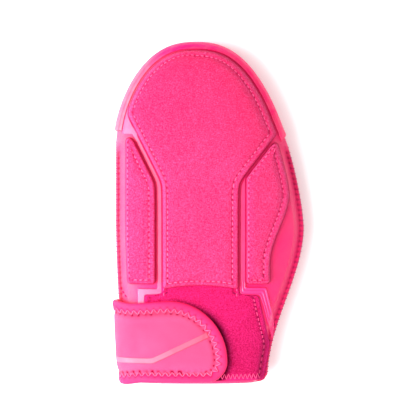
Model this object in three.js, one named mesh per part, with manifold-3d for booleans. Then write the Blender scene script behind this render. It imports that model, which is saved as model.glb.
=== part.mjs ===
// A padded sliding mitt for a left hand, lying palm down: a hollow neoprene body that is open at the wrist,
// a rubber guard round the fingertips, raised brushed pads on the back, and a wrist strap that closes on a patch.
// Millimetres. X runs to the thumb side, Y from the cuff to the fingertips, Z up from what the mitt lies on.
import * as THREE from 'three';
import { mergeVertices } from 'three/addons/utils/BufferGeometryUtils.js';
import Module from 'manifold-3d';

const wasm = await Module();
wasm.setup();

// The body's plan, measured from the spine: the line from the cuff to the highest fingertip.
// A depth is measured back from that fingertip
const BODY_LENGTH = 262.5;
const LITTLE_HALF = 62.4;
const THUMB_HALF = 84;
const CUFF_LITTLE = 56.5;
const CUFF_THUMB = 55.5;
const CUFF_CORNER = 8;
const HEEL_AT = 80;
const THUMB_BULGE_DEPTH = 142.5;
const THUMB_BULGE_AT = BODY_LENGTH - THUMB_BULGE_DEPTH;
const TIP_ARC_DEPTH = 66.5;
const TIP_ARC_AT = BODY_LENGTH - TIP_ARC_DEPTH;

// The body's depth and its wall
const CROWN_HEIGHT = 33;
const TIP_ROUNDING = 34;
const NEOPRENE = 4;
const LAYER_GAP = 0.3;

// The rubber guard
const GUARD_WALL = 1.8;
const GUARD_WIDTH = 6.4;
const GUARD_SEAT = 1.3;
const GUARD_LITTLE_DEPTH = 67.5;
const GUARD_LITTLE_END = BODY_LENGTH - GUARD_LITTLE_DEPTH;
const GUARD_THUMB_DEPTH = 73.5;
const GUARD_THUMB_END = BODY_LENGTH - GUARD_THUMB_DEPTH;
const GUARD_THUMB_SLANT = 0.78;

// The raised pads
const PAD_THICKNESS = 5.2;
const PAD_EDGE = 1.8;
const PAD_BEVEL = 5;
const PAD_BEVEL_STEEP = 2.6;
const HEAD_INSET = 5.4;
const WAIST_DEPTH = 108.5;
const WAIST_AT = BODY_LENGTH - WAIST_DEPTH;
const WAIST_LITTLE = 25.7;
const WAIST_THUMB = 33.1;
const SHOULDER_LITTLE = 0.51;
const SHOULDER_THUMB = 0.78;
const GROOVE_LITTLE = 4.9;
const GROOVE_THUMB = 5.4;
const GROOVE_NARROW = 1.8;
const PAD_FOOT = 76.5;
const CENTER_FOOT = 72.5;
const LITTLE_PAD_DEPTH = 73;
const LITTLE_PAD_TOP = BODY_LENGTH - LITTLE_PAD_DEPTH;
const LITTLE_PAD_INSET = 7.8;
const THUMB_PAD_DEPTH = 77;
const THUMB_PAD_TOP = BODY_LENGTH - THUMB_PAD_DEPTH;
const THUMB_PAD_INSET = 7.6;
const THUMB_PAD_FOOT_X = 57.4;
const THUMB_PAD_NARROW_DEPTH = 170.5;
const THUMB_PAD_NARROW_AT = BODY_LENGTH - THUMB_PAD_NARROW_DEPTH;
const THUMB_PAD_SWELL_DEPTH = 114.5;
const THUMB_PAD_SWELL_AT = BODY_LENGTH - THUMB_PAD_SWELL_DEPTH;

// The flat trim and the wrist patch
const FILM_THICKNESS = 0.7;
const FILM_WIDTH = 5.4;
const PATCH_THICKNESS = 1.5;

// The legs of the films below the pads: shares of the body's half width, and of the height of the pads' feet
const FILM_LEGS = [
  { side: 'little', out: 0.695, up: 1.0 },
  { side: 'little', out: 0.72, up: 0.6 },
  { side: 'thumb', out: 0.735, up: 1.0 },
  { side: 'thumb', out: 0.86, up: 0.73 },
  { side: 'thumb', out: 0.955, up: 0.47 },
];

// The corners of the patch at the cuff, as shares of the same kind
const PATCH_CUFF = [
  { side: 'little', out: 0.7, up: 0.03 },
  { side: 'thumb', out: 0.88, up: 0.03 },
  { side: 'thumb', out: 0.96, up: 0.13 },
  { side: 'thumb', out: 0.975, up: 0.36 },
];

// The strap
const STRAP_WIDTH = 65;
const STRAP_OVERHANG = 1;
const STRAP_CORE = 3.2;
const ROLL_THICKNESS = 4.8;
const ROLL_WIDTH = 7.6;
const TAB_REACH = 23.4;
const TAB_SWEEP = 43;
const TAB_NOSE_AT = 18;
const TAB_CORNER = 15;
const TAB_RISE = 2.4;
const STRAP_END = 40;
const STRIPE_THICKNESS = 0.6;
const STRIPE_WIDTH = 4.2;
const STRIPE_BEND_OUT = 31;
const STRIPE_AT = 18.2;
const STRIPE_END_TURN = 0.58;
const STRAP_MIDDLE = LAYER_GAP + ROLL_THICKNESS / 2;

// How smooth the solids are
const RING_STEPS = 32;
const STEP_ALONG = 13;
const PAD_STEP = 9;
const TIP_STEPS = 9;
const TIP_TURN = 0.49 * Math.PI;
const STRAP_STEPS = 14;
const ROLL_STEPS = 14;
const ROLL_SIDES = 10;
const ROLL_SQUARENESS = 0.75;
const BEVEL_SHARES = [0, 0.2, 0.6, 1];

// The exponents of the body's round sections and of its outline's round stretches
const WIDTH_POWER = 2.5;
const HEIGHT_POWER = 2.1;
const TIP_POWER = 1.4;
const TIP_ROUNDNESS = 2.45;
const THUMB_HEEL_POWER = 0.93;

// Heights as shares of CROWN_HEIGHT, from the cuff to the fingertips
const DEPTH_PROFILE = [
  { along: 0.0, seam: 0.52, crown: 0.97 },
  { along: 0.24, seam: 0.5, crown: 0.98 },
  { along: 0.4, seam: 0.44, crown: 1.0 },
  { along: 0.62, seam: 0.43, crown: 1.0 },
  { along: 0.82, seam: 0.42, crown: 0.95 },
  { along: 1.0, seam: 0.4, crown: 0.84 },
];

const { lerp, clamp, smoothstep } = THREE.MathUtils;
const vec2 = (x, y) => new THREE.Vector2(x, y);
const vec3 = (x, y, z) => new THREE.Vector3(x, y, z);

// Places from one to another, in a number of equal steps
function split(from, to, count) {
  return Array.from({ length: count + 1 }, (_, i) => lerp(from, to, i / count));
}

// Places from one to another, no further apart than longest
function steps(from, to, longest) {
  return split(from, to, Math.max(1, Math.ceil(Math.abs(to - from) / longest)));
}

// A height from DEPTH_PROFILE at a place along the body
function profile(column, along) {
  const share = clamp(along / BODY_LENGTH, 0, 1);
  const next = Math.max(1, DEPTH_PROFILE.findIndex((row) => row.along >= share));
  const low = DEPTH_PROFILE[next - 1];
  const high = DEPTH_PROFILE[next];
  return CROWN_HEIGHT * lerp(low[column], high[column], smoothstep(share, low.along, high.along));
}

// The body's outline at a place along it: x at the little finger's side and at the thumb's side
function outline(along, grow = 0) {
  const tip = BODY_LENGTH + grow;
  const seat = GUARD_SEAT * smoothstep(along, GUARD_THUMB_END - GUARD_WIDTH, GUARD_LITTLE_END + GUARD_WIDTH);
  const littleArc = clamp((along - TIP_ARC_AT) / (tip - TIP_ARC_AT), 0, 1);
  const thumbArc = clamp((along - THUMB_BULGE_AT) / (tip - THUMB_BULGE_AT), 0, 1);
  const below = (Math.max(0, THUMB_BULGE_AT - along) / THUMB_BULGE_AT) ** THUMB_HEEL_POWER;
  const littleSide = lerp(CUFF_LITTLE, LITTLE_HALF, smoothstep(along, -HEEL_AT / 4, 1.6 * HEEL_AT));
  const thumbSide = lerp(CUFF_THUMB, THUMB_HALF, 0.5 + 0.5 * Math.cos(Math.PI * below));
  return {
    little: -(littleSide - seat + grow) * (1 - littleArc ** TIP_POWER) ** (1 / TIP_ROUNDNESS),
    thumb: (thumbSide - seat + grow) * (1 - thumbArc ** TIP_POWER) ** (1 / TIP_ROUNDNESS),
  };
}

// The strap runs under the wrist and holds the body's underside this far off the floor
function lift(along) {
  const low = smoothstep(along, STRAP_WIDTH, STRAP_WIDTH + HEEL_AT / 2);
  return (ROLL_THICKNESS + LAYER_GAP) * (1 - low);
}

// The section at a place along the body: its middle, half width and the heights that it spans
function section(along, grow = 0) {
  const { little, thumb } = outline(along, grow);
  const seam = profile('seam', along);
  const roundFrom = BODY_LENGTH - TIP_ROUNDING;
  const closing = clamp((along - roundFrom) / (BODY_LENGTH + grow - roundFrom), 0, 1);
  const dome = Math.sqrt(1 - closing ** 3);
  return {
    middle: (little + thumb) / 2,
    half: (thumb - little) / 2,
    seam,
    rise: (profile('crown', along) - seam + grow) * dome,
    drop: (1.08 * seam + grow) * dome,
    floor: lift(along) - grow,
  };
}

// A point on the body's surface, grown outwards. The angle is 0 at the little finger's side, positive over the back
function skin(along, angle, grow = 0) {
  const s = section(along, grow);
  const across = Math.sign(Math.cos(angle)) * Math.abs(Math.cos(angle)) ** (2 / WIDTH_POWER);
  const height = Math.abs(Math.sin(angle)) ** (2 / HEIGHT_POWER) * (angle > 0 ? s.rise : -s.drop);
  return vec3(s.middle - s.half * across, along, Math.max(s.seam + height, s.floor));
}

// The angle on the back whose point is at x
function angleAt(x, along, grow = 0) {
  const s = section(along, grow);
  const across = clamp((s.middle - x) / s.half, -1, 1);
  return Math.acos(Math.sign(across) * Math.abs(across) ** (WIDTH_POWER / 2));
}

// The height of the body's back at x
function backHeight(x, along) {
  return skin(along, angleAt(x, along)).z;
}

// A closed mesh as a solid that faces outwards
function solid(geometry) {
  geometry.deleteAttribute('normal');
  geometry.deleteAttribute('uv');
  const merged = mergeVertices(geometry, 1e-4);
  const vertProperties = merged.attributes.position.array;
  const triVerts = new Uint32Array(merged.index.array);
  const made = new wasm.Manifold(new wasm.Mesh({ numProp: 3, vertProperties, triVerts }));
  if (made.volume() > 0) return made;
  triVerts.reverse();
  return new wasm.Manifold(new wasm.Mesh({ numProp: 3, vertProperties, triVerts }));
}

// The faces that close a ring of points, turning the same way as the ring
function capFaces(ring) {
  const size = new THREE.Box3().setFromPoints(ring).getSize(vec3());
  const flat = ring.map((p) => (size.y < size.x ? vec2(p.x, p.z) : vec2(p.y, p.z)));
  const faces = THREE.ShapeUtils.triangulateShape(flat, []);
  return THREE.ShapeUtils.area(flat) > 0 ? faces : faces.map((face) => [...face].reverse());
}

// A solid through rings of points, with flat ends, or with a point at its last end
function loft(rings, apex = null) {
  const count = rings[0].length;
  const points = rings.flat();
  const last = points.length - count;
  const faces = capFaces(rings[0]).map((face) => face.reverse());
  for (let i = 0; i < last; i += count) {
    for (let j = 0; j < count; j++) {
      const next = (j + 1) % count;
      faces.push([i + j, i + next, i + next + count], [i + j, i + next + count, i + j + count]);
    }
  }
  if (apex) {
    for (let j = 0; j < count; j++) faces.push([last + j, last + ((j + 1) % count), points.length]);
    points.push(apex);
  } else {
    faces.push(...capFaces(rings.at(-1)).map((face) => face.map((k) => k + last)));
  }
  return solid(new THREE.BufferGeometry().setFromPoints(faces.flat().map((k) => points[k])));
}

// An upright prism over a plan outline, taller than the mitt
function prism(points, low = -CROWN_HEIGHT, high = 3 * CROWN_HEIGHT) {
  const shape = new THREE.Shape(points);
  const geometry = new THREE.ExtrudeGeometry(shape, { depth: high - low, bevelEnabled: false });
  return solid(geometry.translate(0, 0, low));
}

// A run of plan points moved sideways, to its left where the shift is positive
function shifted(run, shift) {
  return run.map((p, i) => {
    const into = i > 0 ? p.clone().sub(run[i - 1]).normalize() : null;
    const out = i + 1 < run.length ? run[i + 1].clone().sub(p).normalize() : into;
    const along = (into ?? out).clone().add(out).normalize();
    const reach = shift / along.dot(out);
    return vec2(p.x - along.y * reach, p.y + along.x * reach);
  });
}

// The plan outline of a ribbon of one width along a run of points
function ribbon(run, width) {
  return [...shifted(run, width / 2), ...shifted(run, -width / 2).reverse()];
}

// Places along the body, close together where its outline turns at the fingertips
function stations(grow) {
  const before = grow === 0 ? [] : [-Math.abs(grow)];
  const tip = split(0, TIP_TURN, TIP_STEPS).slice(1);
  const reach = BODY_LENGTH + grow - TIP_ARC_AT;
  return [...before, ...steps(0, TIP_ARC_AT, STEP_ALONG), ...tip.map((turn) => TIP_ARC_AT + reach * Math.sin(turn))];
}

// The body's outer form, grown, and grown further by a bulge at each angle. A half stops short of the seam
function bodyForm(grow = 0, half = null, bulge = () => 0) {
  const first = half === 'back' ? 0 : -Math.PI;
  const angles = half ? split(first, first + Math.PI, RING_STEPS / 2) : split(first, Math.PI, RING_STEPS).slice(0, -1);
  const seamed = (point, seam) => {
    if (half === 'back') point.z = Math.max(point.z, seam + LAYER_GAP / 2);
    if (half === 'palm') point.z = Math.min(point.z, seam - LAYER_GAP / 2);
    return point;
  };
  const ring = (along) =>
    angles.map((angle) => seamed(skin(along, angle, grow + bulge(angle)), profile('seam', along)));
  const tip = vec3(0, BODY_LENGTH + grow, profile('seam', BODY_LENGTH));
  return loft(stations(grow).map(ring), seamed(tip, tip.z));
}

// What lies outside the rounded corners of the cuff
function cuffCorners() {
  return ['little', 'thumb'].map((side) => {
    const edge = outline(0)[side];
    const inward = -Math.sign(edge) * CUFF_CORNER;
    const turned = split(0, Math.PI / 2, 6).map((turn) =>
      vec2(edge + inward * (1 - Math.sin(turn)), CUFF_CORNER * (1 - Math.cos(turn))),
    );
    const outside = [vec2(edge - 2 * inward, CUFF_CORNER), vec2(edge - 2 * inward, -CUFF_CORNER)];
    return prism([...turned, ...outside, vec2(edge + inward, -CUFF_CORNER)]);
  });
}

// One half of the hollow neoprene body, open at the cuff
function bodyPanel(half) {
  const shell = bodyForm(0, half).subtract(bodyForm(-NEOPRENE));
  return cuffCorners().reduce((made, corner) => made.subtract(corner), shell);
}

// The cap over the fingertip edge: a shell outside the body, cut back to a lip on each face
function fingertipGuard() {
  const outer = LAYER_GAP + GUARD_WALL;
  const inset = outer - GUARD_WIDTH;
  const places = stations(inset).filter((along) => along > THUMB_BULGE_AT);
  const [little, thumb] = ['little', 'thumb'].map((side) => places.map((y) => vec2(outline(y, inset)[side], y)));
  const far = 2 * THUMB_HALF;
  const slant = (x) =>
    vec2(x, GUARD_THUMB_END + GUARD_THUMB_SLANT * (x - outline(GUARD_THUMB_END, inset / 2).thumb));
  const kept = [vec2(-far, GUARD_LITTLE_END), vec2(0, GUARD_LITTLE_END), slant(0), slant(far)];
  kept.push(vec2(far, 2 * BODY_LENGTH), vec2(-far, 2 * BODY_LENGTH));
  const shell = bodyForm(outer).subtract(bodyForm(LAYER_GAP)).intersect(prism(kept));
  return shell.subtract(prism([...little, ...thumb.reverse()]));
}

// Half the width of the centre pad: a head that follows the guard, a slanting shoulder and a straight waist
function centerEdge(side, along) {
  const arc = Math.abs(outline(along, -HEAD_INSET)[side]);
  const [waist, shoulder] = side === 'little' ? [WAIST_LITTLE, SHOULDER_LITTLE] : [WAIST_THUMB, SHOULDER_THUMB];
  return Math.min(arc, waist + shoulder * Math.max(0, along - WAIST_AT));
}

// The outer edge of the thumb's side pad: the body's bulge, drawn in towards the pad's foot
function thumbPadEdge(along) {
  const widest = outline(THUMB_PAD_SWELL_AT).thumb - THUMB_PAD_INSET;
  const swell = smoothstep(along, THUMB_PAD_NARROW_AT, THUMB_PAD_SWELL_AT);
  return Math.min(outline(along).thumb - THUMB_PAD_INSET, lerp(THUMB_PAD_FOOT_X, widest, swell));
}

// The pads by their feet, their tops, their edges and the widths of the bevels along those edges
const PADS = {
  center_pad: {
    foot: CENTER_FOOT,
    top: BODY_LENGTH - HEAD_INSET,
    little: (along) => -centerEdge('little', along),
    thumb: (along) => centerEdge('thumb', along),
    bevel: { little: PAD_BEVEL, thumb: PAD_BEVEL },
  },
  little_side_pad: {
    foot: PAD_FOOT,
    top: LITTLE_PAD_TOP,
    little: (along) => outline(along).little + LITTLE_PAD_INSET,
    thumb: (along) => -centerEdge('little', along) - GROOVE_LITTLE,
    bevel: { little: PAD_BEVEL_STEEP, thumb: PAD_BEVEL },
  },
  thumb_side_pad: {
    foot: PAD_FOOT,
    top: THUMB_PAD_TOP,
    little: (along) => Math.max(WAIST_THUMB + GROOVE_THUMB, centerEdge('thumb', along) + GROOVE_NARROW),
    thumb: thumbPadEdge,
    bevel: { little: PAD_BEVEL_STEEP, thumb: PAD_BEVEL },
  },
};

// How far a plan point lies from a run of plan points
function distanceTo(run, x, along) {
  const point = vec3(x, along, 0);
  const spans = run.slice(1).map((end, i) => new THREE.Line3(run[i], end));
  return Math.min(...spans.map((span) => span.closestPointToPoint(point, true, vec3()).distanceTo(point)));
}

// Places along a pad: its bevelled foot, its shaft, and a bevelled top or a round head
function padStations(pad) {
  const bevel = BEVEL_SHARES.map((share) => share * PAD_BEVEL);
  const shaft = steps(pad.foot + 1.2 * PAD_BEVEL, WAIST_AT, 2 * PAD_STEP);
  const foot = [...bevel.map((inset) => pad.foot + inset), ...shaft];
  if (pad.top < TIP_ARC_AT) {
    const shoulder = steps(WAIST_AT, pad.top - 1.2 * PAD_BEVEL, PAD_STEP).slice(1);
    return [...foot, ...shoulder, ...bevel.map((inset) => pad.top - inset).reverse()];
  }
  const head = split(0, TIP_TURN, TIP_STEPS + 2).slice(1);
  const round = head.map((turn) => lerp(TIP_ARC_AT, pad.top, Math.sin(turn)));
  return [...foot, ...steps(WAIST_AT, TIP_ARC_AT, PAD_STEP).slice(1), ...round];
}

// A raised pad over the body's back, with a flat top and round bevels, and a margin on all sides where asked
function padForm(pad, margin = 0) {
  const places = padStations(pad);
  const [little, thumb] = ['little', 'thumb'].map((side) => places.map((y) => vec3(pad[side](y), y, 0)));
  const rounded = (distance, bevel) => Math.sqrt(1 - (1 - clamp(distance / bevel, 0, 1)) ** 2);
  const topAt = (x, along) => {
    const shares = [
      rounded(distanceTo(little, x, along), pad.bevel.little),
      rounded(distanceTo(thumb, x, along), pad.bevel.thumb),
      rounded(along - pad.foot, PAD_BEVEL),
      pad.top < TIP_ARC_AT ? rounded(pad.top - along, PAD_BEVEL) : 1,
    ];
    const height = PAD_EDGE + (PAD_THICKNESS - PAD_EDGE) * Math.min(...shares);
    return vec3(x, along, backHeight(x, along) + LAYER_GAP + height + margin);
  };
  const rings = places.map((along, i) => {
    const [left, right] = [little[i].x, thumb[i].x];
    const room = Math.min(1, (0.45 * (right - left)) / PAD_BEVEL);
    const inLeft = BEVEL_SHARES.map((share) => left + share * room * pad.bevel.little);
    const inRight = BEVEL_SHARES.map((share) => right - share * room * pad.bevel.thumb).reverse();
    const flat = split(inLeft.at(-1), inRight[0], 6).slice(1, -1);
    const top = [...inLeft, ...flat, ...inRight].map((x) => topAt(x, along));
    top[0].x -= margin;
    top.at(-1).x += margin;
    const under = [top.at(-1), top[0]].map((p) => vec3(p.x, along, backHeight(p.x, along) - NEOPRENE / 2));
    return [...top, ...under];
  });
  const beyond = (ring, by) => ring.map((p) => vec3(p.x, p.y + by, p.z));
  return loft(margin > 0 ? [beyond(rings[0], -margin), ...rings, beyond(rings.at(-1), margin)] : rings);
}

const PAD_CLEARANCES = Object.values(PADS).map((pad) => padForm(pad, LAYER_GAP));

// A flat layer on the body's back, over a plan outline and clear of the pads
function backLayer(plan, thickness) {
  const sheet = bodyForm(LAYER_GAP + thickness, 'back').subtract(bodyForm(LAYER_GAP)).intersect(prism(plan));
  return PAD_CLEARANCES.reduce((made, clearance) => made.subtract(clearance), sheet);
}

// The run of a film's middle: down the groove beside the centre pad, out under the side pad, down to the strap
function filmRun(side) {
  const sign = side === 'little' ? -1 : 1;
  const groove = side === 'little' ? GROOVE_LITTLE : GROOVE_THUMB;
  const top = side === 'little' ? GUARD_LITTLE_END : WAIST_AT + GROOVE_THUMB;
  const foot = PAD_FOOT - LAYER_GAP - FILM_WIDTH / 2;
  const inGroove = [top, WAIST_AT, foot].map((along) => vec2(sign * (centerEdge(side, along) + groove / 2), along));
  const leg = FILM_LEGS.filter((row) => row.side === side);
  return [...inGroove, ...leg.map((row) => vec2(row.out * outline(row.up * foot)[side], row.up * foot))];
}

// Smooth film that shows in the groove beside the centre pad
function film(side) {
  return backLayer(ribbon(filmRun(side), FILM_WIDTH), FILM_THICKNESS);
}

// The brushed patch at the wrist, between the two films
function wristPatch() {
  const margin = FILM_WIDTH / 2 + LAYER_GAP;
  const little = shifted(filmRun('little'), margin).slice(2);
  const thumb = shifted(filmRun('thumb'), -margin).slice(2);
  const top = CENTER_FOOT - LAYER_GAP;
  const cuff = PATCH_CUFF.map((row) => vec2(row.out * outline(row.up * top)[row.side], row.up * top));
  const plan = [vec2(little[0].x, top), ...little, ...cuff, ...thumb.reverse(), vec2(thumb.at(-1).x, top)];
  return backLayer(plan, PATCH_THICKNESS);
}

// How much further out the strap lies at an angle, because of the patch under it on the back
function patchLift(angle) {
  return (PATCH_THICKNESS + LAYER_GAP) * smoothstep(angle, 0, Math.PI / 4);
}

// A point on the outline of the strap's free end, inset. The turn runs from the cuff's side to the far side
function tabEdge(turn, inset) {
  const reach = (turn > 0 ? TAB_SWEEP : TAB_CORNER) - inset;
  const height = (turn > 0 ? STRAP_WIDTH - STRAP_OVERHANG - TAB_NOSE_AT : TAB_NOSE_AT + STRAP_OVERHANG) - inset;
  return vec2(TAB_REACH - inset - reach * (1 - Math.cos(turn)), TAB_NOSE_AT + height * Math.sin(turn));
}

// How much the strap's lower edge is drawn up towards its free end
function tabRise(along, angle) {
  return TAB_RISE * (1 - smoothstep(along, 0, TAB_NOSE_AT)) * smoothstep(angle, Math.PI / 8, Math.PI / 3);
}

// A point on a surface of the strap, a height above the middle of its thickness
function onStrap(along, angle, height = 0) {
  return skin(along + tabRise(along, angle), angle, STRAP_MIDDLE + height + patchLift(angle));
}

// The angles at which the strap ends on the back and on the palm, at a place on its free end's outline
function strapEnds(edge) {
  return [angleAt(edge.x, edge.y, STRAP_MIDDLE), -angleAt(STRAP_END, edge.y, STRAP_MIDDLE)];
}

// The strap without its rolled edge: from the back, round the little finger's side, to the palm
function strapCore() {
  const turns = steps(-Math.PI / 2, Math.PI / 2, Math.PI / ROLL_STEPS);
  const rings = turns.map((turn) => {
    const edge = tabEdge(turn, ROLL_WIDTH / 2);
    const angles = split(...strapEnds(edge), STRAP_STEPS);
    const [outer, inner] = [0.5, -0.5].map((side) => angles.map((angle) => onStrap(edge.y, angle, side * STRAP_CORE)));
    return [...outer, ...inner.reverse()];
  });
  return loft(rings);
}

// The rolled edge round the strap, from the palm round its free end and back to the palm
function strapRoll(margin = 0) {
  const tab = split(-Math.PI / 2, Math.PI / 2, ROLL_STEPS).map((turn) => tabEdge(turn, ROLL_WIDTH / 2));
  const across = (edge) => split(...strapEnds(edge), STRAP_STEPS).map((angle) => ({ along: edge.y, angle }));
  const nose = tab.slice(1, -1).map((edge) => ({ along: edge.y, angle: strapEnds(edge)[0] }));
  const places = [...across(tab[0]).reverse(), ...nose, ...across(tab.at(-1))];
  const middles = places.map(({ along, angle }) => onStrap(along, angle));
  const rings = places.map(({ along, angle }, i) => {
    const round = onStrap(along, angle + 0.02).sub(onStrap(along, angle - 0.02));
    const normal = round.cross(onStrap(along + 0.5, angle).sub(onStrap(along - 0.5, angle))).normalize();
    const run = middles[Math.min(i + 1, middles.length - 1)].clone().sub(middles[Math.max(i - 1, 0)]);
    const side = run.clone().cross(normal).normalize();
    return split(0, 2 * Math.PI, ROLL_SIDES).slice(1).map((turn) => {
      const out = Math.sign(Math.cos(turn)) * Math.abs(Math.cos(turn)) ** ROLL_SQUARENESS;
      const up = Math.sign(Math.sin(turn)) * Math.abs(Math.sin(turn)) ** ROLL_SQUARENESS;
      const point = middles[i].clone().addScaledVector(side, out * (ROLL_WIDTH / 2 + margin));
      point.addScaledVector(normal, up * (ROLL_THICKNESS / 2 + margin));
      return point.setZ(Math.max(point.z, -margin));
    });
  });
  return loft(rings).subtract(bodyForm(LAYER_GAP - margin, null, patchLift));
}

// A thin stripe on the strap, from the little finger's side to its rolled edge
function strapFilm() {
  const low = STRAP_MIDDLE + STRAP_CORE / 2 + LAYER_GAP;
  const sheet = bodyForm(low + STRIPE_THICKNESS, 'back', patchLift).subtract(bodyForm(low, null, patchLift));
  const bend = vec2(-STRIPE_BEND_OUT, STRIPE_AT);
  const run = [vec2(1.2 * outline(bend.y).little, bend.y), bend, tabEdge(STRIPE_END_TURN, ROLL_WIDTH / 2)];
  return sheet.intersect(prism(ribbon(run, STRIPE_WIDTH))).subtract(strapRoll(LAYER_GAP));
}

const material = (color, roughness) => new THREE.MeshStandardMaterial({ color, roughness, metalness: 0 });
const NEOPRENE_PINK = material('#f23a82', 0.75);
const BRUSHED_PINK = material('#f04a90', 0.95);
const PATCH_PINK = material('#dd2f74', 0.98);
const RUBBER_PINK = material('#f04a8c', 0.45);
const FILM_PINK = material('#f77fae', 0.4);

const PIECES = {
  back_panel: [bodyPanel('back'), NEOPRENE_PINK],
  palm_panel: [bodyPanel('palm'), NEOPRENE_PINK],
  fingertip_guard: [fingertipGuard(), RUBBER_PINK],
  center_pad: [padForm(PADS.center_pad).subtract(bodyForm(LAYER_GAP)), BRUSHED_PINK],
  little_side_pad: [padForm(PADS.little_side_pad).subtract(bodyForm(LAYER_GAP)), BRUSHED_PINK],
  thumb_side_pad: [padForm(PADS.thumb_side_pad).subtract(bodyForm(LAYER_GAP)), BRUSHED_PINK],
  wrist_patch: [wristPatch(), PATCH_PINK],
  film_little: [film('little'), FILM_PINK],
  film_thumb: [film('thumb'), FILM_PINK],
  wrist_strap: [strapCore().subtract(strapRoll(LAYER_GAP)), BRUSHED_PINK],
  strap_roll: [strapRoll(), BRUSHED_PINK],
  strap_film: [strapFilm(), FILM_PINK],
};

// A solid as a mesh with a flat normal on each face
function toMesh(name, made, look) {
  const { vertProperties, triVerts } = made.getMesh();
  const geometry = new THREE.BufferGeometry();
  geometry.setAttribute('position', new THREE.BufferAttribute(vertProperties, 3));
  geometry.setIndex(new THREE.BufferAttribute(triVerts, 1));
  const faceted = geometry.toNonIndexed();
  faceted.computeVertexNormals();
  const mesh = new THREE.Mesh(faceted, look);
  mesh.name = name;
  return mesh;
}

const mitt = new THREE.Group();
mitt.name = 'sliding_mitt';
for (const [name, [made, look]] of Object.entries(PIECES)) mitt.add(toMesh(name, made, look));

// The middle of the mitt's footprint is the origin
const box = new THREE.Box3().setFromObject(mitt);
const middle = box.getCenter(vec3());
for (const mesh of mitt.children) mesh.geometry.translate(-middle.x, -middle.y, -box.min.z);

export default mitt;
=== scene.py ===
"""A padded sliding mitt for a left hand, lying palm down on a pale floor and seen from above.

Lengths are in millimetres until to_frame() turns them into the frame's metres. x runs from the spine to the
thumb's side, along runs from the cuff to the fingertips, and z is the height over the floor.
"""

import math

import bmesh
import bpy
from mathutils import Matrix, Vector, kdtree, noise


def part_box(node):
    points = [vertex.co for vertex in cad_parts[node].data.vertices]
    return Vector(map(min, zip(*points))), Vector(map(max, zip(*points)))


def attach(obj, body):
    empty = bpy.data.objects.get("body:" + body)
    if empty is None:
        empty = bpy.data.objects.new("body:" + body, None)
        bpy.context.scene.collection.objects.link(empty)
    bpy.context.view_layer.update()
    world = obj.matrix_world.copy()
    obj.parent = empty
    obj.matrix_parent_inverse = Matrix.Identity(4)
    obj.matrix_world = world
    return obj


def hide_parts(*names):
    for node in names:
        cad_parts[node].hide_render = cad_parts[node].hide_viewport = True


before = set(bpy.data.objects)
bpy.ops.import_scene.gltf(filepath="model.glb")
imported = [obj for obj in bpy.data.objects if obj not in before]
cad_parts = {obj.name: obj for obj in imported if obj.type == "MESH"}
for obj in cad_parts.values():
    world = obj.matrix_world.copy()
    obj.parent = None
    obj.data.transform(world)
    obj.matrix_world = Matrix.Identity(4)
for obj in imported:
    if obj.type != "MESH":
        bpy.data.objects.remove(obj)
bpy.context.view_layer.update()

MM = 0.001

# The body's plan
BODY_LENGTH = 262.5
LITTLE_HALF = 62.4
THUMB_HALF = 84.0
CUFF_LITTLE = 56.5
CUFF_THUMB = 55.5
CUFF_CORNER = 8.0
THUMB_BULGE_AT = 120.0
TIP_ARC_AT = 196.0
HEEL_AT = 80.0
TIP_POWER = 1.4
TIP_ROUNDNESS = 2.45
THUMB_HEEL_POWER = 0.93

# The body's depth and its wall
CROWN_HEIGHT = 33.0
TIP_ROUNDING = 34.0
NEOPRENE = 4.0
WIDTH_POWER = 2.5
HEIGHT_POWER = 2.1
LAYER_GAP = 0.3
DEPTH_PROFILE = [
    {"along": 0.0, "seam": 0.52, "crown": 0.97},
    {"along": 0.24, "seam": 0.5, "crown": 0.98},
    {"along": 0.4, "seam": 0.44, "crown": 1.0},
    {"along": 0.62, "seam": 0.43, "crown": 1.0},
    {"along": 0.82, "seam": 0.42, "crown": 0.95},
    {"along": 1.0, "seam": 0.4, "crown": 0.84},
]

# The guard over the fingertips
GUARD_WALL = 1.8
GUARD_WIDTH = 6.4
GUARD_SEAT = 1.3
GUARD_LITTLE_END = 195.0
GUARD_THUMB_END = 189.0
GUARD_SLANT = 0.78
GUARD_SPLIT = 0.42
GUARD_BEAD = (3.1, 4.1)

# The raised pads
PAD_THICKNESS = 5.2
EDGE_FOOT = 0.6
EDGE_ROUND = 2.1
PAD_CORNER = 3.2
CHANNEL_PULL = 0.75
HEAD_INSET = 5.4
WAIST_AT = 154.0
WAIST_LITTLE = 25.7
WAIST_THUMB = 33.1
SHOULDER_LITTLE = 0.51
SHOULDER_THUMB = 0.78
GROOVE_LITTLE = 4.9
GROOVE_THUMB = 5.4
GROOVE_NARROW = 1.8
PAD_FOOT = 76.5
CENTER_FOOT = 72.5
CENTER_FOOT_ARCH = 3.0
ARCH_REACH = 30.0
LITTLE_PAD_TOP = 189.5
LITTLE_PAD_INSET = 7.8
THUMB_PAD_TOP = 185.5
THUMB_PAD_INSET = 7.6
THUMB_PAD_NARROW_AT = 92.0
THUMB_PAD_FOOT_X = 57.4
THUMB_PAD_SWELL_AT = 148.0

# The flat trim and the patch at the wrist
FILM_THICKNESS = 0.7
FILM_WIDTH = 5.4
FILM_ROUND = 0.7
FILM_RIDGES = 2.5
FILM_RIDGE_HEIGHT = 0.22
PATCH_THICKNESS = 1.5
PATCH_ROUND = 1.6
PATCH_CHANNEL = 4.4

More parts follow.
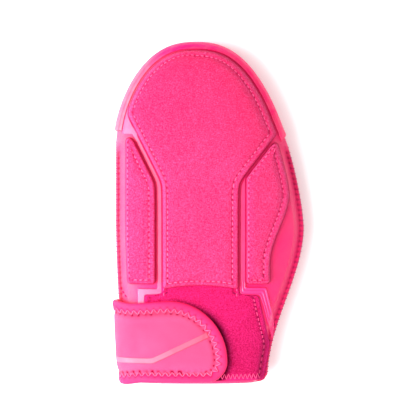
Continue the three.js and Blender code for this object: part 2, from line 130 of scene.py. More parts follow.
# The strap
STRAP_WIDTH = 65.0
STRAP_OVERHANG = 1.0
STRAP_CORE = 3.2
ROLL_THICKNESS = 4.8
ROLL_WIDTH = 7.6
TAB_REACH = 23.4
TAB_SWEEP = 43.0
TAB_NOSE_AT = 18.0
TAB_CORNER = 15.0
TAB_RISE = 2.4
STRAP_END = 40.0
STRIPE_WIDTH = 4.2
STRIPE_ROUND = 0.6
STRIPE_START_X = -58.8
STRIPE_BEND_X = -31.0
STRIPE_AT = 18.2
STRIPE_END_TURN = 0.58
ROLL_ROUNDNESS = 0.85
STRAP_SAG = 2.2
STRAP_FACE_LAP = 1.2
STRAP_MIDDLE = LAYER_GAP + ROLL_THICKNESS / 2

# How far in from its edge the body gets a painted highlight at the little finger's side, which faces the
# lamps, and how far round the guard gets one
BODY_PAINTED_HIGHLIGHT = (8.0, 20.0)
GUARD_PAINTED_HIGHLIGHT = (0.24, 0.9)

# The thread
STITCH_PITCH = 4.05
STRAP_PITCH = 5.1
STRAP_HOLE_IN = 2.0
STRAP_HOLE_OUT = 2.7
SEAM_START = 2.0
THREAD_RADIUS = 0.34
PAD_THREAD_RADIUS = 0.4
STRAP_THREAD_RADIUS = 0.42
HOLE_EDGE = 0.5

# The sewn ledge along the side seams, and the seam that ends the slit
LEDGE_WIDTH = 2.6
LEDGE_HEIGHT = 1.7
LEDGE_ROUND = 1.1
LEDGE_SLOPE = 6.0
SEWN_FADE = (14.0, 3.0)
HEM_ROUND = 2.2
RIM_WIDTH = 1.6
CHANNEL_WIDTH = 0.9
SEAM_THREAD_RADIUS = 0.44
SLIT_THREAD_RADIUS = 0.55
SLIT_TOP = (-59.4, 73.8)
SLIT_END = (-53.2, 65.4)
SLIT_STITCHES = 3

# Where the trim turns under the pads
FOOT_BAND_TOP = 74.3
FOOT_BAND_LOW = 68.5
FILM_LITTLE_TURN = -42.0
FILM_LITTLE_END = 54.0
FILM_HEAD_PLACES = (214.0, 208.0, 202.0, 197.0)

# The width of the cloth that a piece's own coordinates span, and how wide a piece's cloth lies on it
CLOTH_SPAN = 400.0
BODY_CLOTH = 52.0
GUARD_CLOTH = (40.0, 230.0)
STRAP_CLOTH = 230.0

# How fine the grids are, across a piece and along it
BODY_GRID = (216, 300)
EDGE_CROWDING = 0.075
GUARD_GRID = (80, 260)
CENTER_PAD_GRID = (112, 380)
SIDE_PAD_GRID = (64, 250)
FILM_LITTLE_GRID = (16, 200)
FILM_THUMB_GRID = (24, 220)
PATCH_GRID = (140, 120)
STRAP_GRID = (104, 560)
STRAP_FILM_GRID = (24, 120)
ROLL_SIDES = 28
BORDER_STEPS = 90
RIM_STEPS = 400
RIM_LEAST_STEP = 0.2
GROOVE_STEPS = 40
THREAD_FACES = 6

SPINE_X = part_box("thumb_side_pad")[0].x / MM - WAIST_THUMB - GROOVE_THUMB
CUFF_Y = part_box("back_panel")[0].y / MM


def lerp(low, high, share):
    return low + (high - low) * share


def clamp(value, low=0.0, high=1.0):
    return max(low, min(high, value))


def ease(value, low, high):
    """0 up to low, 1 from high on, and a smooth rise between them."""
    share = clamp((value - low) / (high - low))
    return share * share * (3 - 2 * share)


def hump(value, middle, width):
    """1 at the middle, falling off smoothly over about this width on both sides."""
    return math.exp(-(((value - middle) / width) ** 2))


def dome(share):
    """The height of a rounded edge, from 0 at its foot to 1 at its top."""
    return math.sqrt(1 - (1 - clamp(share)) ** 2)


def to_frame(point):
    """A point in the mitt's millimetres as a point in the frame's metres."""
    return Vector((point.x + SPINE_X, point.y + CUFF_Y, point.z)) * MM


def wave(run, pitch):
    """1 at each needle hole of a seam, and 0 halfway to the next."""
    return 0.5 + 0.5 * math.cos(2 * math.pi * run / pitch)


def fold(share):
    """A share that goes up the outer face and back down the inner one: if it is inner, and how far up."""
    inner = share > 0.5
    return inner, 2 * (1 - share) if inner else 2 * share


def lengths_along(points):
    """How far along a line each of its points lies."""
    run = [0.0]
    for a, b in zip(points, points[1:]):
        run.append(run[-1] + (b - a).length)
    return run


def step_at(lengths, run):
    """The point of a line that comes next after a length along it, and the share of the step to it."""
    after = next(i for i, length in enumerate(lengths) if i and length >= run - 1e-9)
    return after, (run - lengths[after - 1]) / max(lengths[after] - lengths[after - 1], 1e-9)


def finder(points):
    """A tree that finds the nearest of some points."""
    tree = kdtree.KDTree(len(points))
    for i, point in enumerate(points):
        tree.insert(point, i)
    tree.balance()
    return tree


def ripple(point, size, seed=0.0):
    """A smooth unevenness from -1 to 1 that changes over about this many millimetres."""
    return noise.noise(Vector((point.x, point.y, point.z + seed)) / size)


def profile(column, along):
    """A height from the table of depths at a place along the body."""
    share = clamp(along / BODY_LENGTH)
    after = next(i for i, row in enumerate(DEPTH_PROFILE) if i and row["along"] >= share)
    low, high = DEPTH_PROFILE[after - 1], DEPTH_PROFILE[after]
    return CROWN_HEIGHT * lerp(low[column], high[column], ease(share, low["along"], high["along"]))


def outline(along, grow=0.0):
    """The body's edges in plan: x at the little finger's side and at the thumb's side."""
    tip = BODY_LENGTH + grow
    seat = GUARD_SEAT * ease(along, GUARD_THUMB_END - GUARD_WIDTH, GUARD_LITTLE_END + GUARD_WIDTH)
    little_arc = clamp((along - TIP_ARC_AT) / (tip - TIP_ARC_AT))
    thumb_arc = clamp((along - THUMB_BULGE_AT) / (tip - THUMB_BULGE_AT))
    below = (max(0.0, THUMB_BULGE_AT - along) / THUMB_BULGE_AT) ** THUMB_HEEL_POWER
    little_side = lerp(CUFF_LITTLE, LITTLE_HALF, ease(along, -HEEL_AT / 4, 1.6 * HEEL_AT))
    thumb_side = lerp(CUFF_THUMB, THUMB_HALF, 0.5 + 0.5 * math.cos(math.pi * below))
    return (
        -(little_side - seat + grow) * (1 - little_arc**TIP_POWER) ** (1 / TIP_ROUNDNESS),
        (thumb_side - seat + grow) * (1 - thumb_arc**TIP_POWER) ** (1 / TIP_ROUNDNESS),
    )


def lift(along):
    """How far the strap under the wrist holds the body off the floor."""
    return (ROLL_THICKNESS + LAYER_GAP) * (1 - ease(along, STRAP_WIDTH, STRAP_WIDTH + HEEL_AT / 2))


def section(along, grow=0.0):
    """The body's section: its middle, half width, seam height, rise above, drop below and lowest height."""
    little, thumb = outline(along, grow)
    seam = profile("seam", along)
    round_from = BODY_LENGTH - TIP_ROUNDING
    closing = clamp((along - round_from) / (BODY_LENGTH + grow - round_from))
    closed = math.sqrt(1 - closing**3)
    rise = (profile("crown", along) - seam + grow) * closed
    drop = (1.08 * seam + grow) * closed
    return (little + thumb) / 2, (thumb - little) / 2, seam, rise, drop, lift(along) - grow


def skin(along, angle, grow=0.0, sewn=0.0):
    """A point on the grown body. The angle is 0 at the little finger's side and positive over the back.
    Where the body is sewn, its two faces come down to a thin ledge along the side seams."""
    middle, half, seam, rise, drop, floor = section(along, grow)
    across = math.copysign(abs(math.cos(angle)) ** (2 / WIDTH_POWER), math.cos(angle))
    height = abs(math.sin(angle)) ** (2 / HEIGHT_POWER) * (rise if angle > 0 else drop)
    if sewn > 0:
        inset = half * (1 - abs(across))
        ledge = min(height, LEDGE_HEIGHT * dome(inset / LEDGE_ROUND))
        height = lerp(height, lerp(ledge, height, ease(inset, LEDGE_WIDTH, LEDGE_WIDTH + LEDGE_SLOPE)), sewn)
    return Vector((middle - half * across, along, max(seam + math.copysign(height, angle), floor)))


def sewn_share(along):
    """1 where the side seams show, 0 under the guard."""
    return 1 - ease(along, GUARD_THUMB_END - SEWN_FADE[0], GUARD_THUMB_END - SEWN_FADE[1])


def angle_at(x, along, grow=0.0):
    """The angle on the back whose point is at x."""
    middle, half = section(along, grow)[:2]
    across = clamp((middle - x) / max(half, 1e-6), -1.0, 1.0)
    return math.acos(math.copysign(abs(across) ** (WIDTH_POWER / 2), across))


def face_height(x, along, grow=0.0, palm=False):
    """The height of the plain body's back at x, or of its palm."""
    angle = angle_at(x, along, grow)
    return skin(along, -angle if palm else angle, grow).z


def back_height(x, along):
    """The height of the back at x with its sewn edges, where the pads, the trim and the patch lie."""
    return skin(along, angle_at(x, along), 0.0, sewn_share(along)).z


def body_station(share, grow=0.0):
    """A place along the body by its share, closer together at the fingertips."""
    straight = 0.68
    if share < straight:
        return TIP_ARC_AT * share / straight
    turn = (share - straight) / (1 - straight) * math.pi / 2
    return TIP_ARC_AT + (BODY_LENGTH + grow - TIP_ARC_AT) * math.sin(turn)


def spot(point, fabric, painted_shade=0.0, highlight_and_wear=0.0):
    """What a grid's vertex gets: its point, its place on the cloth, how much painted shade it gets, and its
    share of painted highlight and wear.
    """
    return point, fabric, painted_shade, highlight_and_wear


def mapped_grid(columns, rows, place):
    """A grid of quads whose vertices are put in place by their two shares."""
    bm = bmesh.new()
    bmesh.ops.create_grid(bm, x_segments=columns, y_segments=rows, size=0.5)
    fabric = bm.loops.layers.uv.new("fabric")
    # Two vertex attributes: painted shade, and a lighter share that is painted highlight and wear.
    painted_shade = bm.verts.layers.float.new("painted_shade")
    highlight_and_wear = bm.verts.layers.float.new("highlight_and_wear")
    spots = {vert: place(vert.co.x + 0.5, vert.co.y + 0.5) for vert in bm.verts}
    for face in bm.faces:
        for loop in face.loops:
            loop[fabric].uv = Vector(spots[loop.vert][1]) / CLOTH_SPAN
    for vert, (point, _, depth, highlight_wear_share) in spots.items():
        vert.co = to_frame(point)
        vert[painted_shade] = depth
        vert[highlight_and_wear] = highlight_wear_share
    bmesh.ops.remove_doubles(bm, verts=bm.verts, dist=2e-7)
    return bm


def face_up(bm):
    """Turns the faces so that most of them look up."""
    if sum(face.normal.z * face.calc_area() for face in bm.faces) < 0:
        bmesh.ops.reverse_faces(bm, faces=bm.faces)


def back_with(bm, over):
    """Gives an open top its walls and a plain underside, this far over the back of the mitt."""
    made = bmesh.ops.extrude_face_region(bm, geom=bm.faces, use_keep_orig=True)
    under = [part for part in made["geom"] if isinstance(part, bmesh.types.BMVert)]
    for vert in under:
        vert.co.z = (back_height(vert.co.x / MM - SPINE_X, vert.co.y / MM - CUFF_Y) + over) * MM
    bmesh.ops.recalc_face_normals(bm, faces=bm.faces)


def make_piece(name, bm, material, slot, *nodes):
    """Ends a piece of the mitt: its object, its finish and the CAD nodes that it stands for."""
    bm.normal_update()
    mesh = bpy.data.meshes.new(name)
    bm.to_mesh(mesh)
    bm.free()
    mesh.materials.append(material)
    mesh.shade_smooth()
    piece = bpy.data.objects.new(name, mesh)
    bpy.context.scene.collection.objects.link(piece)
    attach(piece, "root")
    if nodes:
        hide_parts(*nodes)
    return piece


def closed_piece(name, grid, place, material, slot, *nodes):
    """A piece whose grid closes on itself, so that it is a shell all round."""
    bm = mapped_grid(*grid, place)
    bmesh.ops.recalc_face_normals(bm, faces=bm.faces)
    return make_piece(name, bm, material, slot, *nodes)


# Camera, light and floor

CAMERA_LENS = 132.3
CAMERA_PLACE = (-0.0002, 0.0033, 1.205)
WORLD_STRENGTH = 0.7
FLOOR_HALF = 3.0
FLOOR_GLOW = 0.12
WHITE = (1.0, 1.0, 1.0, 1.0)
LIGHTS = [
    {"name": "window_light", "place": (-0.8, -0.32, 0.85), "aim_height": 0.0, "size": 1.0, "power": 24.0},
    {"name": "side_light", "place": (-1.1, 0.05, 0.55), "aim_height": 0.02, "size": 0.7, "power": 12.0},
    {"name": "fill_light", "place": (-0.3, -0.9, 1.4), "aim_height": 0.0, "size": 1.4, "power": 3.0},
    {"name": "overhead_light", "place": (0.1, -0.2, 1.8), "aim_height": 0.0, "size": 1.2, "power": 4.0},
]

camera_data = bpy.data.cameras.new("camera")
camera_data.lens = CAMERA_LENS
camera_data.clip_end = 10.0
camera = bpy.data.objects.new("camera", camera_data)
camera.location = CAMERA_PLACE
bpy.context.scene.collection.objects.link(camera)
bpy.context.scene.camera = camera
bpy.context.scene.view_settings.view_transform = "Standard"


def soft_light(name, place, aim_height, size, power):
    """A square soft light at a place, turned to the middle of the mitt."""
    data = bpy.data.lights.new(name, "AREA")
    data.size = size
    data.energy = power
    lamp = bpy.data.objects.new(name, data)
    lamp.location = place
    towards = Vector((0.0, 0.0, aim_height)) - Vector(place)
    lamp.rotation_euler = towards.to_track_quat("-Z", "Y").to_euler()
    bpy.context.scene.collection.objects.link(lamp)


for light in LIGHTS:
    soft_light(**light)

world = bpy.data.worlds.new("studio")
world.use_nodes = True
world.node_tree.nodes["Background"].inputs["Color"].default_value = WHITE
world.node_tree.nodes["Background"].inputs["Strength"].default_value = WORLD_STRENGTH
bpy.context.scene.world = world


# Materials

ROUGHNESS_SPREAD = 0.06
# How much gloss is lost where shade is painted.
SHADE_DULLING = 0.9


def put(tree, kind, settings=None, numbered=None, **inputs):
    """A node in a tree, with its settings and its sockets, each given a value or what feeds it."""
    node = tree.nodes.new(kind)
    for key, value in (settings or {}).items():
        setattr(node, key, value)
    sockets = [(node.inputs[key], value) for key, value in (numbered or {}).items()]
    sockets += [(node.inputs[key.replace("_", " ")], value) for key, value in inputs.items()]
    for socket, value in sockets:
        if isinstance(value, bpy.types.NodeSocket):
            tree.links.new(value, socket)
        else:
            socket.default_value = value
    return node


def math_node(tree, operation, *values):
    """What a Math node gives for some values or sockets."""
    return put(tree, "ShaderNodeMath", {"operation": operation}, dict(enumerate(values))).outputs[0]


def shade_group(name, inputs, outputs):
    """An empty node group with a vector for the place, float inputs and float outputs."""
    tree = bpy.data.node_groups.new(name, "ShaderNodeTree")
    tree.interface.new_socket("Place", in_out="INPUT", socket_type="NodeSocketVector")
    for label, value in inputs.items():
        tree.interface.new_socket(label, in_out="INPUT", socket_type="NodeSocketFloat").default_value = value
    for label in outputs:
        tree.interface.new_socket(label, in_out="OUTPUT", socket_type="NodeSocketFloat")
    return tree, tree.nodes.new("NodeGroupInput"), tree.nodes.new("NodeGroupOutput")


def brushed_pile_group():
    """A brushed loop pile: clumps of fibre, darker pits, and painted shade that darkens it towards the
    fingertips.
    """
    tree, given, out = shade_group("brushed_pile", {"Size": 700.0}, ["Shade", "Height"])
    place = given.outputs["Place"]
    clumps = put(tree, "ShaderNodeTexNoise", Vector=place, Scale=given.outputs["Size"],
                 Detail=3.0, Roughness=0.65, Distortion=0.6)
    fine = math_node(tree, "MULTIPLY", given.outputs["Size"], 2.7)
    fibres = put(tree, "ShaderNodeTexNoise", Vector=place, Scale=fine,
                 Detail=2.0, Roughness=0.7, Distortion=1.2)
    nap = put(tree, "ShaderNodeTexNoise", Vector=place, Scale=38.0, Detail=3.0, Roughness=0.6)
    mixed = math_node(tree, "MULTIPLY_ADD", fibres.outputs["Fac"], 0.4, clumps.outputs["Fac"])
    height = put(tree, "ShaderNodeMapRange", Value=mixed, From_Min=0.5, From_Max=0.9).outputs["Result"]
    # Painted shade: darker towards the fingertips, along the frame's y.
    along = put(tree, "ShaderNodeSeparateXYZ", Vector=place).outputs["Y"]
    painted_tip_shade = put(tree, "ShaderNodeMapRange", Value=along,
               From_Min=0.03, From_Max=0.12, To_Max=-0.2).outputs["Result"]
    slow = math_node(tree, "MULTIPLY_ADD", nap.outputs["Fac"], 0.3, math_node(tree, "ADD", height, painted_tip_shade))
    tree.links.new(math_node(tree, "MULTIPLY", slow, 0.77), out.inputs["Shade"])
    tree.links.new(height, out.inputs["Height"])
    return tree


def knit_face_group():
    """The fine diagonal ribs of a jersey laminated to foam, with a little unevenness."""
    tree, given, out = shade_group("knit_face", {"Size": 520.0}, ["Shade", "Height"])
    place = given.outputs["Place"]
    turned = put(tree, "ShaderNodeMapping", Vector=place, Rotation=(0.0, 0.0, 0.95)).outputs[0]
    ribs = put(tree, "ShaderNodeTexWave", {"wave_type": "BANDS", "bands_direction": "X"}, Vector=turned,
               Scale=given.outputs["Size"], Distortion=1.4, Detail=2.0, Detail_Scale=1.5)
    loops = put(tree, "ShaderNodeTexVoronoi", {"feature": "F1"}, Vector=turned, Scale=1350.0, Randomness=0.55)
    slow = put(tree, "ShaderNodeTexNoise", Vector=place, Scale=26.0, Detail=4.0, Roughness=0.55)
    height = math_node(tree, "MULTIPLY_ADD", loops.outputs["Distance"], -0.5, ribs.outputs["Fac"])
    tree.links.new(math_node(tree, "MULTIPLY_ADD", height, 0.35, slow.outputs["Fac"]), out.inputs["Shade"])
    tree.links.new(height, out.inputs["Height"])
    return tree


def moulded_skin_group():
    """The faint pebble and rubbed marks of moulded rubber and press-bonded film."""
    tree, given, out = shade_group("moulded_skin", {"Size": 900.0}, ["Shade", "Height"])
    place = given.outputs["Place"]
    pebble = put(tree, "ShaderNodeTexNoise", Vector=place, Scale=given.outputs["Size"],
                 Detail=3.0, Roughness=0.6)
    rubs = put(tree, "ShaderNodeTexNoise", Vector=place, Scale=55.0,
               Detail=6.0, Roughness=0.7, Distortion=0.8)
    rubbed = put(tree, "ShaderNodeMapRange", Value=rubs.outputs["Fac"], From_Min=0.3, From_Max=0.75)
    tree.links.new(rubbed.outputs["Result"], out.inputs["Shade"])
    tree.links.new(pebble.outputs["Fac"], out.inputs["Height"])
    return tree


def painted_light_and_wear_group():
    """Painted shade in seams, in needle holes, at pads' edges and beside the strap's tab; and a lighter share
    that is painted highlight and wear.
    """
    tree, given, out = shade_group("painted_light_and_wear", {"Shade": 0.5, "Crease": 0.0, "Rub": 0.0}, ["Share", "Shadow"])
    place = given.outputs["Place"]
    patchy = put(tree, "ShaderNodeTexNoise", Vector=place, Scale=160.0,
                 Detail=3.0, Roughness=0.6).outputs["Fac"]
    highlight_and_wear = math_node(tree, "MULTIPLY", given.outputs["Rub"], math_node(tree, "ADD", patchy, 0.4))
    share = math_node(tree, "MULTIPLY_ADD", highlight_and_wear, 0.5, given.outputs["Shade"])
    uneven = math_node(tree, "MULTIPLY_ADD", patchy, 0.5, 0.75)
    shadow = put(tree, "ShaderNodeMath", {"operation": "MULTIPLY", "use_clamp": True},
                 {0: given.outputs["Crease"], 1: uneven}).outputs[0]
    tree.links.new(share, out.inputs["Share"])
    tree.links.new(shadow, out.inputs["Shadow"])
    return tree


BRUSHED_PILE = brushed_pile_group()
KNIT_FACE = knit_face_group()
MOULDED_SKIN = moulded_skin_group()
PAINTED_LIGHT_AND_WEAR = painted_light_and_wear_group()


def finish(name, group, size, tones, roughness, relief,
           gloss=0.5, on_cloth=False, span=(0.25, 0.75), **shader):
    """A material whose group shades it between its tones (deep, dark, light). The deep tone is painted shade,
    where the gloss is dulled too, and the light tone also carries painted highlight.
    """
    material = bpy.data.materials.new(name)
    material.use_nodes = True
    tree = material.node_tree
    surface = tree.nodes["Principled BSDF"]
    if on_cloth:
        cloth = put(tree, "ShaderNodeUVMap", {"uv_map": "fabric"})
        span_m = CLOTH_SPAN * MM
        place = put(tree, "ShaderNodeMapping", Vector=cloth.outputs["UV"],
                    Scale=(span_m, span_m, span_m)).outputs[0]
    else:
        place = put(tree, "ShaderNodeTexCoord").outputs["Object"]
    pattern = put(tree, "ShaderNodeGroup", {"node_tree": group}, Place=place, Size=size)
    shade = put(tree, "ShaderNodeMapRange", Value=pattern.outputs["Shade"],
                From_Min=span[0], From_Max=span[1])
    painted_shade = put(tree, "ShaderNodeAttribute", {"attribute_name": "painted_shade"})
    highlight_and_wear = put(tree, "ShaderNodeAttribute", {"attribute_name": "highlight_and_wear"})
    painted_mix = put(tree, "ShaderNodeGroup", {"node_tree": PAINTED_LIGHT_AND_WEAR}, Place=place,
                  Shade=shade.outputs["Result"], Crease=painted_shade.outputs["Fac"], Rub=highlight_and_wear.outputs["Fac"])
    deep, dark, light = ((*tone, 1.0) for tone in tones)
    lit = put(tree, "ShaderNodeMix", {"data_type": "RGBA"}, {0: painted_mix.outputs["Share"], 6: dark, 7: light})
    # The deep tone mixed in here is painted shade.
    sunk = put(tree, "ShaderNodeMix", {"data_type": "RGBA"},
               {0: painted_mix.outputs["Shadow"], 6: lit.outputs[2], 7: deep})
    rough = put(tree, "ShaderNodeMapRange", Value=pattern.outputs["Shade"],
                To_Min=roughness + ROUGHNESS_SPREAD, To_Max=roughness - ROUGHNESS_SPREAD)
    bump = put(tree, "ShaderNodeBump", Height=pattern.outputs["Height"], Distance=relief, Strength=1.0)
    tree.links.new(sunk.outputs[2], surface.inputs["Base Color"])
    tree.links.new(rough.outputs["Result"], surface.inputs["Roughness"])
    tree.links.new(bump.outputs["Normal"], surface.inputs["Normal"])
    for key, value in shader.items():
        surface.inputs[key.replace("_", " ")].default_value = value
    dulled = math_node(tree, "MULTIPLY_ADD", painted_mix.outputs["Shadow"], -SHADE_DULLING * gloss, gloss)
    tree.links.new(dulled, surface.inputs["Specular IOR Level"])
    return material


TINT = (1.0, 0.35, 0.62, 1.0)
# Tones: deep, dark, light. Every deep tone is painted shade; the patch's nearly black one is the painted
# shadow beside the strap's tab. The rubber's and the neoprene's light tones serve mostly as painted
# highlight, since their patterns seldom reach them.
PAD_TONES = [(0.7, 0.001, 0.08), (0.9, 0.002, 0.11), (1.0, 0.08, 0.31)]
PATCH_TONES = [(0.07, 0.0003, 0.012), (0.64, 0.001, 0.065), (1.0, 0.03, 0.25)]
NEOPRENE_TONES = [(0.3, 0.001, 0.04), (0.97, 0.001, 0.15), (1.0, 0.12, 0.19)]
# The strap's face gets lighter tones than the body's neoprene: painted light, since the face tilts towards
# the lamps.
STRAP_TONES = [(0.3, 0.001, 0.04), (0.92, 0.029, 0.152), (1.0, 0.075, 0.23)]
ROLL_TONES = [(0.3, 0.001, 0.05), (0.86, 0.002, 0.09), (0.97, 0.012, 0.14)]
RUBBER_TONES = [(0.35, 0.002, 0.04), (1.0, 0.001, 0.15), (1.0, 0.24, 0.27)]
FILM_TONES = [(0.4, 0.003, 0.05), (0.96, 0.006, 0.16), (1.0, 0.024, 0.21)]
# The film in the little finger's groove, on the side the lamps light, gets lighter tones and more gloss than
# the same film at the thumb: a lit copy, painted highlight.
LIT_SIDE_FILM_TONES = [(0.4, 0.003, 0.05), (0.97, 0.012, 0.14), (1.0, 0.038, 0.18)]
# The strap's stripe is given lighter tones than the other film: painted highlight in place of its gloss.
STRAP_FILM_TONES = [(0.4, 0.02, 0.12), (1.0, 0.055, 0.13), (1.0, 0.1, 0.19)]
PAD_THREAD_TONES = [(0.4, 0.002, 0.06), (0.95, 0.045, 0.21), (1.0, 0.15, 0.36)]
STRAP_THREAD_TONES = [(0.6, 0.01, 0.12), (1.0, 0.06, 0.23), (1.0, 0.14, 0.34)]
PATCH_THREAD_TONES = [(0.4, 0.002, 0.06), (1.0, 0.02, 0.18), (1.0, 0.08, 0.28)]
SEAM_THREAD_TONES = [(0.2, 0.001, 0.04), (0.42, 0.001, 0.09), (0.6, 0.006, 0.15)]

pad_cloth = finish("pad_cloth", BRUSHED_PILE, 900.0, PAD_TONES, 0.64, 0.0008, gloss=0.3, span=(0.2, 0.9))
patch_cloth = finish("patch_cloth", BRUSHED_PILE, 1000.0, PATCH_TONES, 0.95, 0.0009,
                     gloss=0.05, span=(0.15, 0.8))
neoprene_cloth = finish("neoprene_cloth", KNIT_FACE, 520.0, NEOPRENE_TONES, 0.42, 0.00012,
                        gloss=0.5, on_cloth=True, span=(0.45, 2.2))
strap_cloth = finish("strap_cloth", KNIT_FACE, 700.0, STRAP_TONES, 0.5, 0.00018, gloss=0.45, on_cloth=True,
                     Sheen_Weight=0.05, Sheen_Roughness=0.35, Sheen_Tint=TINT)
roll_cloth = finish("roll_cloth", KNIT_FACE, 700.0, ROLL_TONES, 0.55, 0.00008, gloss=0.35, on_cloth=True,
                    Sheen_Weight=0.03, Sheen_Roughness=0.35, Sheen_Tint=TINT)
guard_rubber = finish("guard_rubber", MOULDED_SKIN, 900.0, RUBBER_TONES, 0.46, 0.00002,
                      gloss=0.2, span=(0.2, 3.0))
strap_film_gloss = finish("strap_film_gloss", MOULDED_SKIN, 500.0, STRAP_FILM_TONES, 0.42, 0.00002,
                          gloss=0.45, span=(0.0, 1.0))
film_gloss = finish("film_gloss", MOULDED_SKIN, 500.0, FILM_TONES, 0.38, 0.00002, gloss=0.65, span=(0.0, 1.0))
lit_side_film_gloss = finish("lit_side_film_gloss", MOULDED_SKIN, 500.0, LIT_SIDE_FILM_TONES, 0.4, 0.00002,
                         gloss=0.8, span=(0.0, 1.0))
pad_thread_fibre = finish("pad_thread_fibre", KNIT_FACE, 1500.0, PAD_THREAD_TONES, 0.6, 0.00004)
strap_thread_fibre = finish("strap_thread_fibre", KNIT_FACE, 1500.0, STRAP_THREAD_TONES, 0.5, 0.00004)
patch_thread_fibre = finish("patch_thread_fibre", KNIT_FACE, 1500.0, PATCH_THREAD_TONES, 0.6, 0.00004)
seam_thread_fibre = finish("seam_thread_fibre", KNIT_FACE, 1500.0, SEAM_THREAD_TONES, 0.6, 0.00004, gloss=0.2)


def floor_paper():
    """Seamless studio paper on a light table: nearly white, matt, with a faint tooth and a little glow."""
    material = bpy.data.materials.new("floor_paper")
    material.use_nodes = True
    tree = material.node_tree
    surface = tree.nodes["Principled BSDF"]
    place = put(tree, "ShaderNodeTexCoord").outputs["Object"]
    tooth = put(tree, "ShaderNodeTexNoise", Vector=place, Scale=900.0, Detail=3.0)
    tone = put(tree, "ShaderNodeMix", {"data_type": "RGBA"},
               {0: tooth.outputs["Fac"], 6: (0.94, 0.94, 0.94, 1.0), 7: (0.96, 0.96, 0.96, 1.0)})
    bump = put(tree, "ShaderNodeBump", Height=tooth.outputs["Fac"], Distance=0.00005)
    tree.links.new(tone.outputs[2], surface.inputs["Base Color"])
    tree.links.new(bump.outputs["Normal"], surface.inputs["Normal"])
    surface.inputs["Roughness"].default_value = 0.95
    surface.inputs["Specular IOR Level"].default_value = 0.2
    surface.inputs["Emission Color"].default_value = WHITE
    surface.inputs["Emission Strength"].default_value = FLOOR_GLOW
    return material


def studio_floor():
    """The sheet of paper that the mitt lies on."""
    bm = bmesh.new()
    bmesh.ops.create_grid(bm, x_segments=1, y_segments=1, size=FLOOR_HALF)
    mesh = bpy.data.meshes.new("studio_floor")
    bm.to_mesh(mesh)
    bm.free()
    mesh.materials.append(floor_paper())
    floor = bpy.data.objects.new("studio_floor", mesh)
    bpy.context.scene.collection.objects.link(floor)


studio_floor()


# Thread

UP = Vector((0.0, 0.0, 1.0))


def sew(bm, path, radius=THREAD_RADIUS):
    """One visible length of thread along a path, which gives a point for each share from 0 to 1."""
    made = bmesh.ops.create_uvsphere(bm, u_segments=THREAD_FACES, v_segments=THREAD_FACES, radius=1.0)
    for vert in made["verts"]:
        share = 0.5 + 0.5 * vert.co.z
        ahead = (path(min(1.0, share + 0.06)) - path(max(0.0, share - 0.06))).normalized()
        side = ahead.cross(UP)
        side = side.normalized() if side.length > 1e-4 else Vector((1.0, 0.0, 0.0))
        over = side.cross(ahead)
        vert.co = to_frame(path(share) + (side * vert.co.x + over * vert.co.y) * radius)


def straight_stitch(start, end, rise=0.25, sunk=0.15):
    """The path of a stitch that comes out of the cloth at one end and goes in at the other."""

    def path(share):
        return start.lerp(end, share) + UP * (rise * 4 * share * (1 - share) - sunk)

    return path


def thread_piece(name, paths, material, slot, radius=THREAD_RADIUS):
    """The thread of one or more seams, a length for each path."""
    bm = bmesh.new()
    for path in paths:
        sew(bm, path, radius)
    make_piece(name, bm, material, slot)


# The body


def cuff_round(point, along, middle, half):
    """Rounds the corners of the cuff in plan."""
    if along >= CUFF_CORNER:
        return
    inset = CUFF_CORNER * (1 - math.sqrt(1 - ((CUFF_CORNER - along) / CUFF_CORNER) ** 2))
    point.x = middle + (point.x - middle) * (half - inset) / half


def body_half(name, sign, node):
    """One half of the neoprene body as a closed shell, with a sewn ledge along its side seams. The sign is 1
    for the back and -1 for the palm."""

    def place(u, v):
        inner, t = fold(u)
        t = clamp(t)
        spread = math.pi * (t - EDGE_CROWDING * math.sin(2 * math.pi * t))
        angle = sign * max(spread, 1e-6)
        hem = dome(body_station(v) / HEM_ROUND)
        grow = -NEOPRENE / 2 + (-1 if inner else 1) * NEOPRENE / 2 * hem
        along = body_station(v, grow if v > 0.5 else 0.0)
        sewn = 0.0 if inner else sewn_share(along)
        point = skin(along, angle, grow, sewn)
        middle, half, seam = section(along, grow)[:3]
        inset = half - abs(point.x - middle)
        beat = wave(along, STITCH_PITCH)
        painted_shade = 0.0
        if not inner:
            outward = math.copysign(1.0, point.x - middle)
            rim = sewn * hump(inset, 0.0, RIM_WIDTH)
            point.x += outward * rim * (0.1 - 0.4 * beat)
            channel = sewn * hump(inset, LEDGE_WIDTH + 0.1, CHANNEL_WIDTH)
            point.z -= sign * channel * (0.35 + 0.5 * beat)
            # Painted shade in the seam's channel, darkest at the needle holes.
            painted_shade = clamp(channel * (0.08 + 0.6 * beat**2))
            point.z += sign * 0.3 * ripple(point, 30.0) * ease(inset, 6.0, 14.0)
        point.z = max(point.z, seam + 0.03) if sign > 0 else clamp(point.z, lift(along) - grow, seam - 0.03)
        cuff_round(point, along, middle, half)
        # Painted highlight on the back's little-finger side, which faces the lamps.
        little_side = sign > 0 and point.x < middle
        highlight_wear_share = 0.8 * (1 - ease(inset, *BODY_PAINTED_HIGHLIGHT)) if little_side else 0.0
        return spot(point, (angle * BODY_CLOTH, along), painted_shade, highlight_wear_share)

    piece = closed_piece(name, BODY_GRID, place, neoprene_cloth, "neoprene", node)


body_half("back_shell", 1.0, "back_panel")
body_half("palm_shell", -1.0, "palm_panel")


def seam_loop(along, thumb, slant=0.9):
    """The path of one thread loop over the side seam, from its needle hole on the back to the palm."""
    edge = outline(along)[1 if thumb else 0]
    out = 1.0 if thumb else -1.0
    seam = profile("seam", along)

    def path(share):
        turn = math.pi * (0.5 - share)
        x = edge + out * (0.08 - (LEDGE_WIDTH + 0.2) * (1 - math.cos(turn)))
        return Vector((x, along + slant * (share - 0.5), seam + (LEDGE_HEIGHT + 0.2) * math.sin(turn)))

    return path


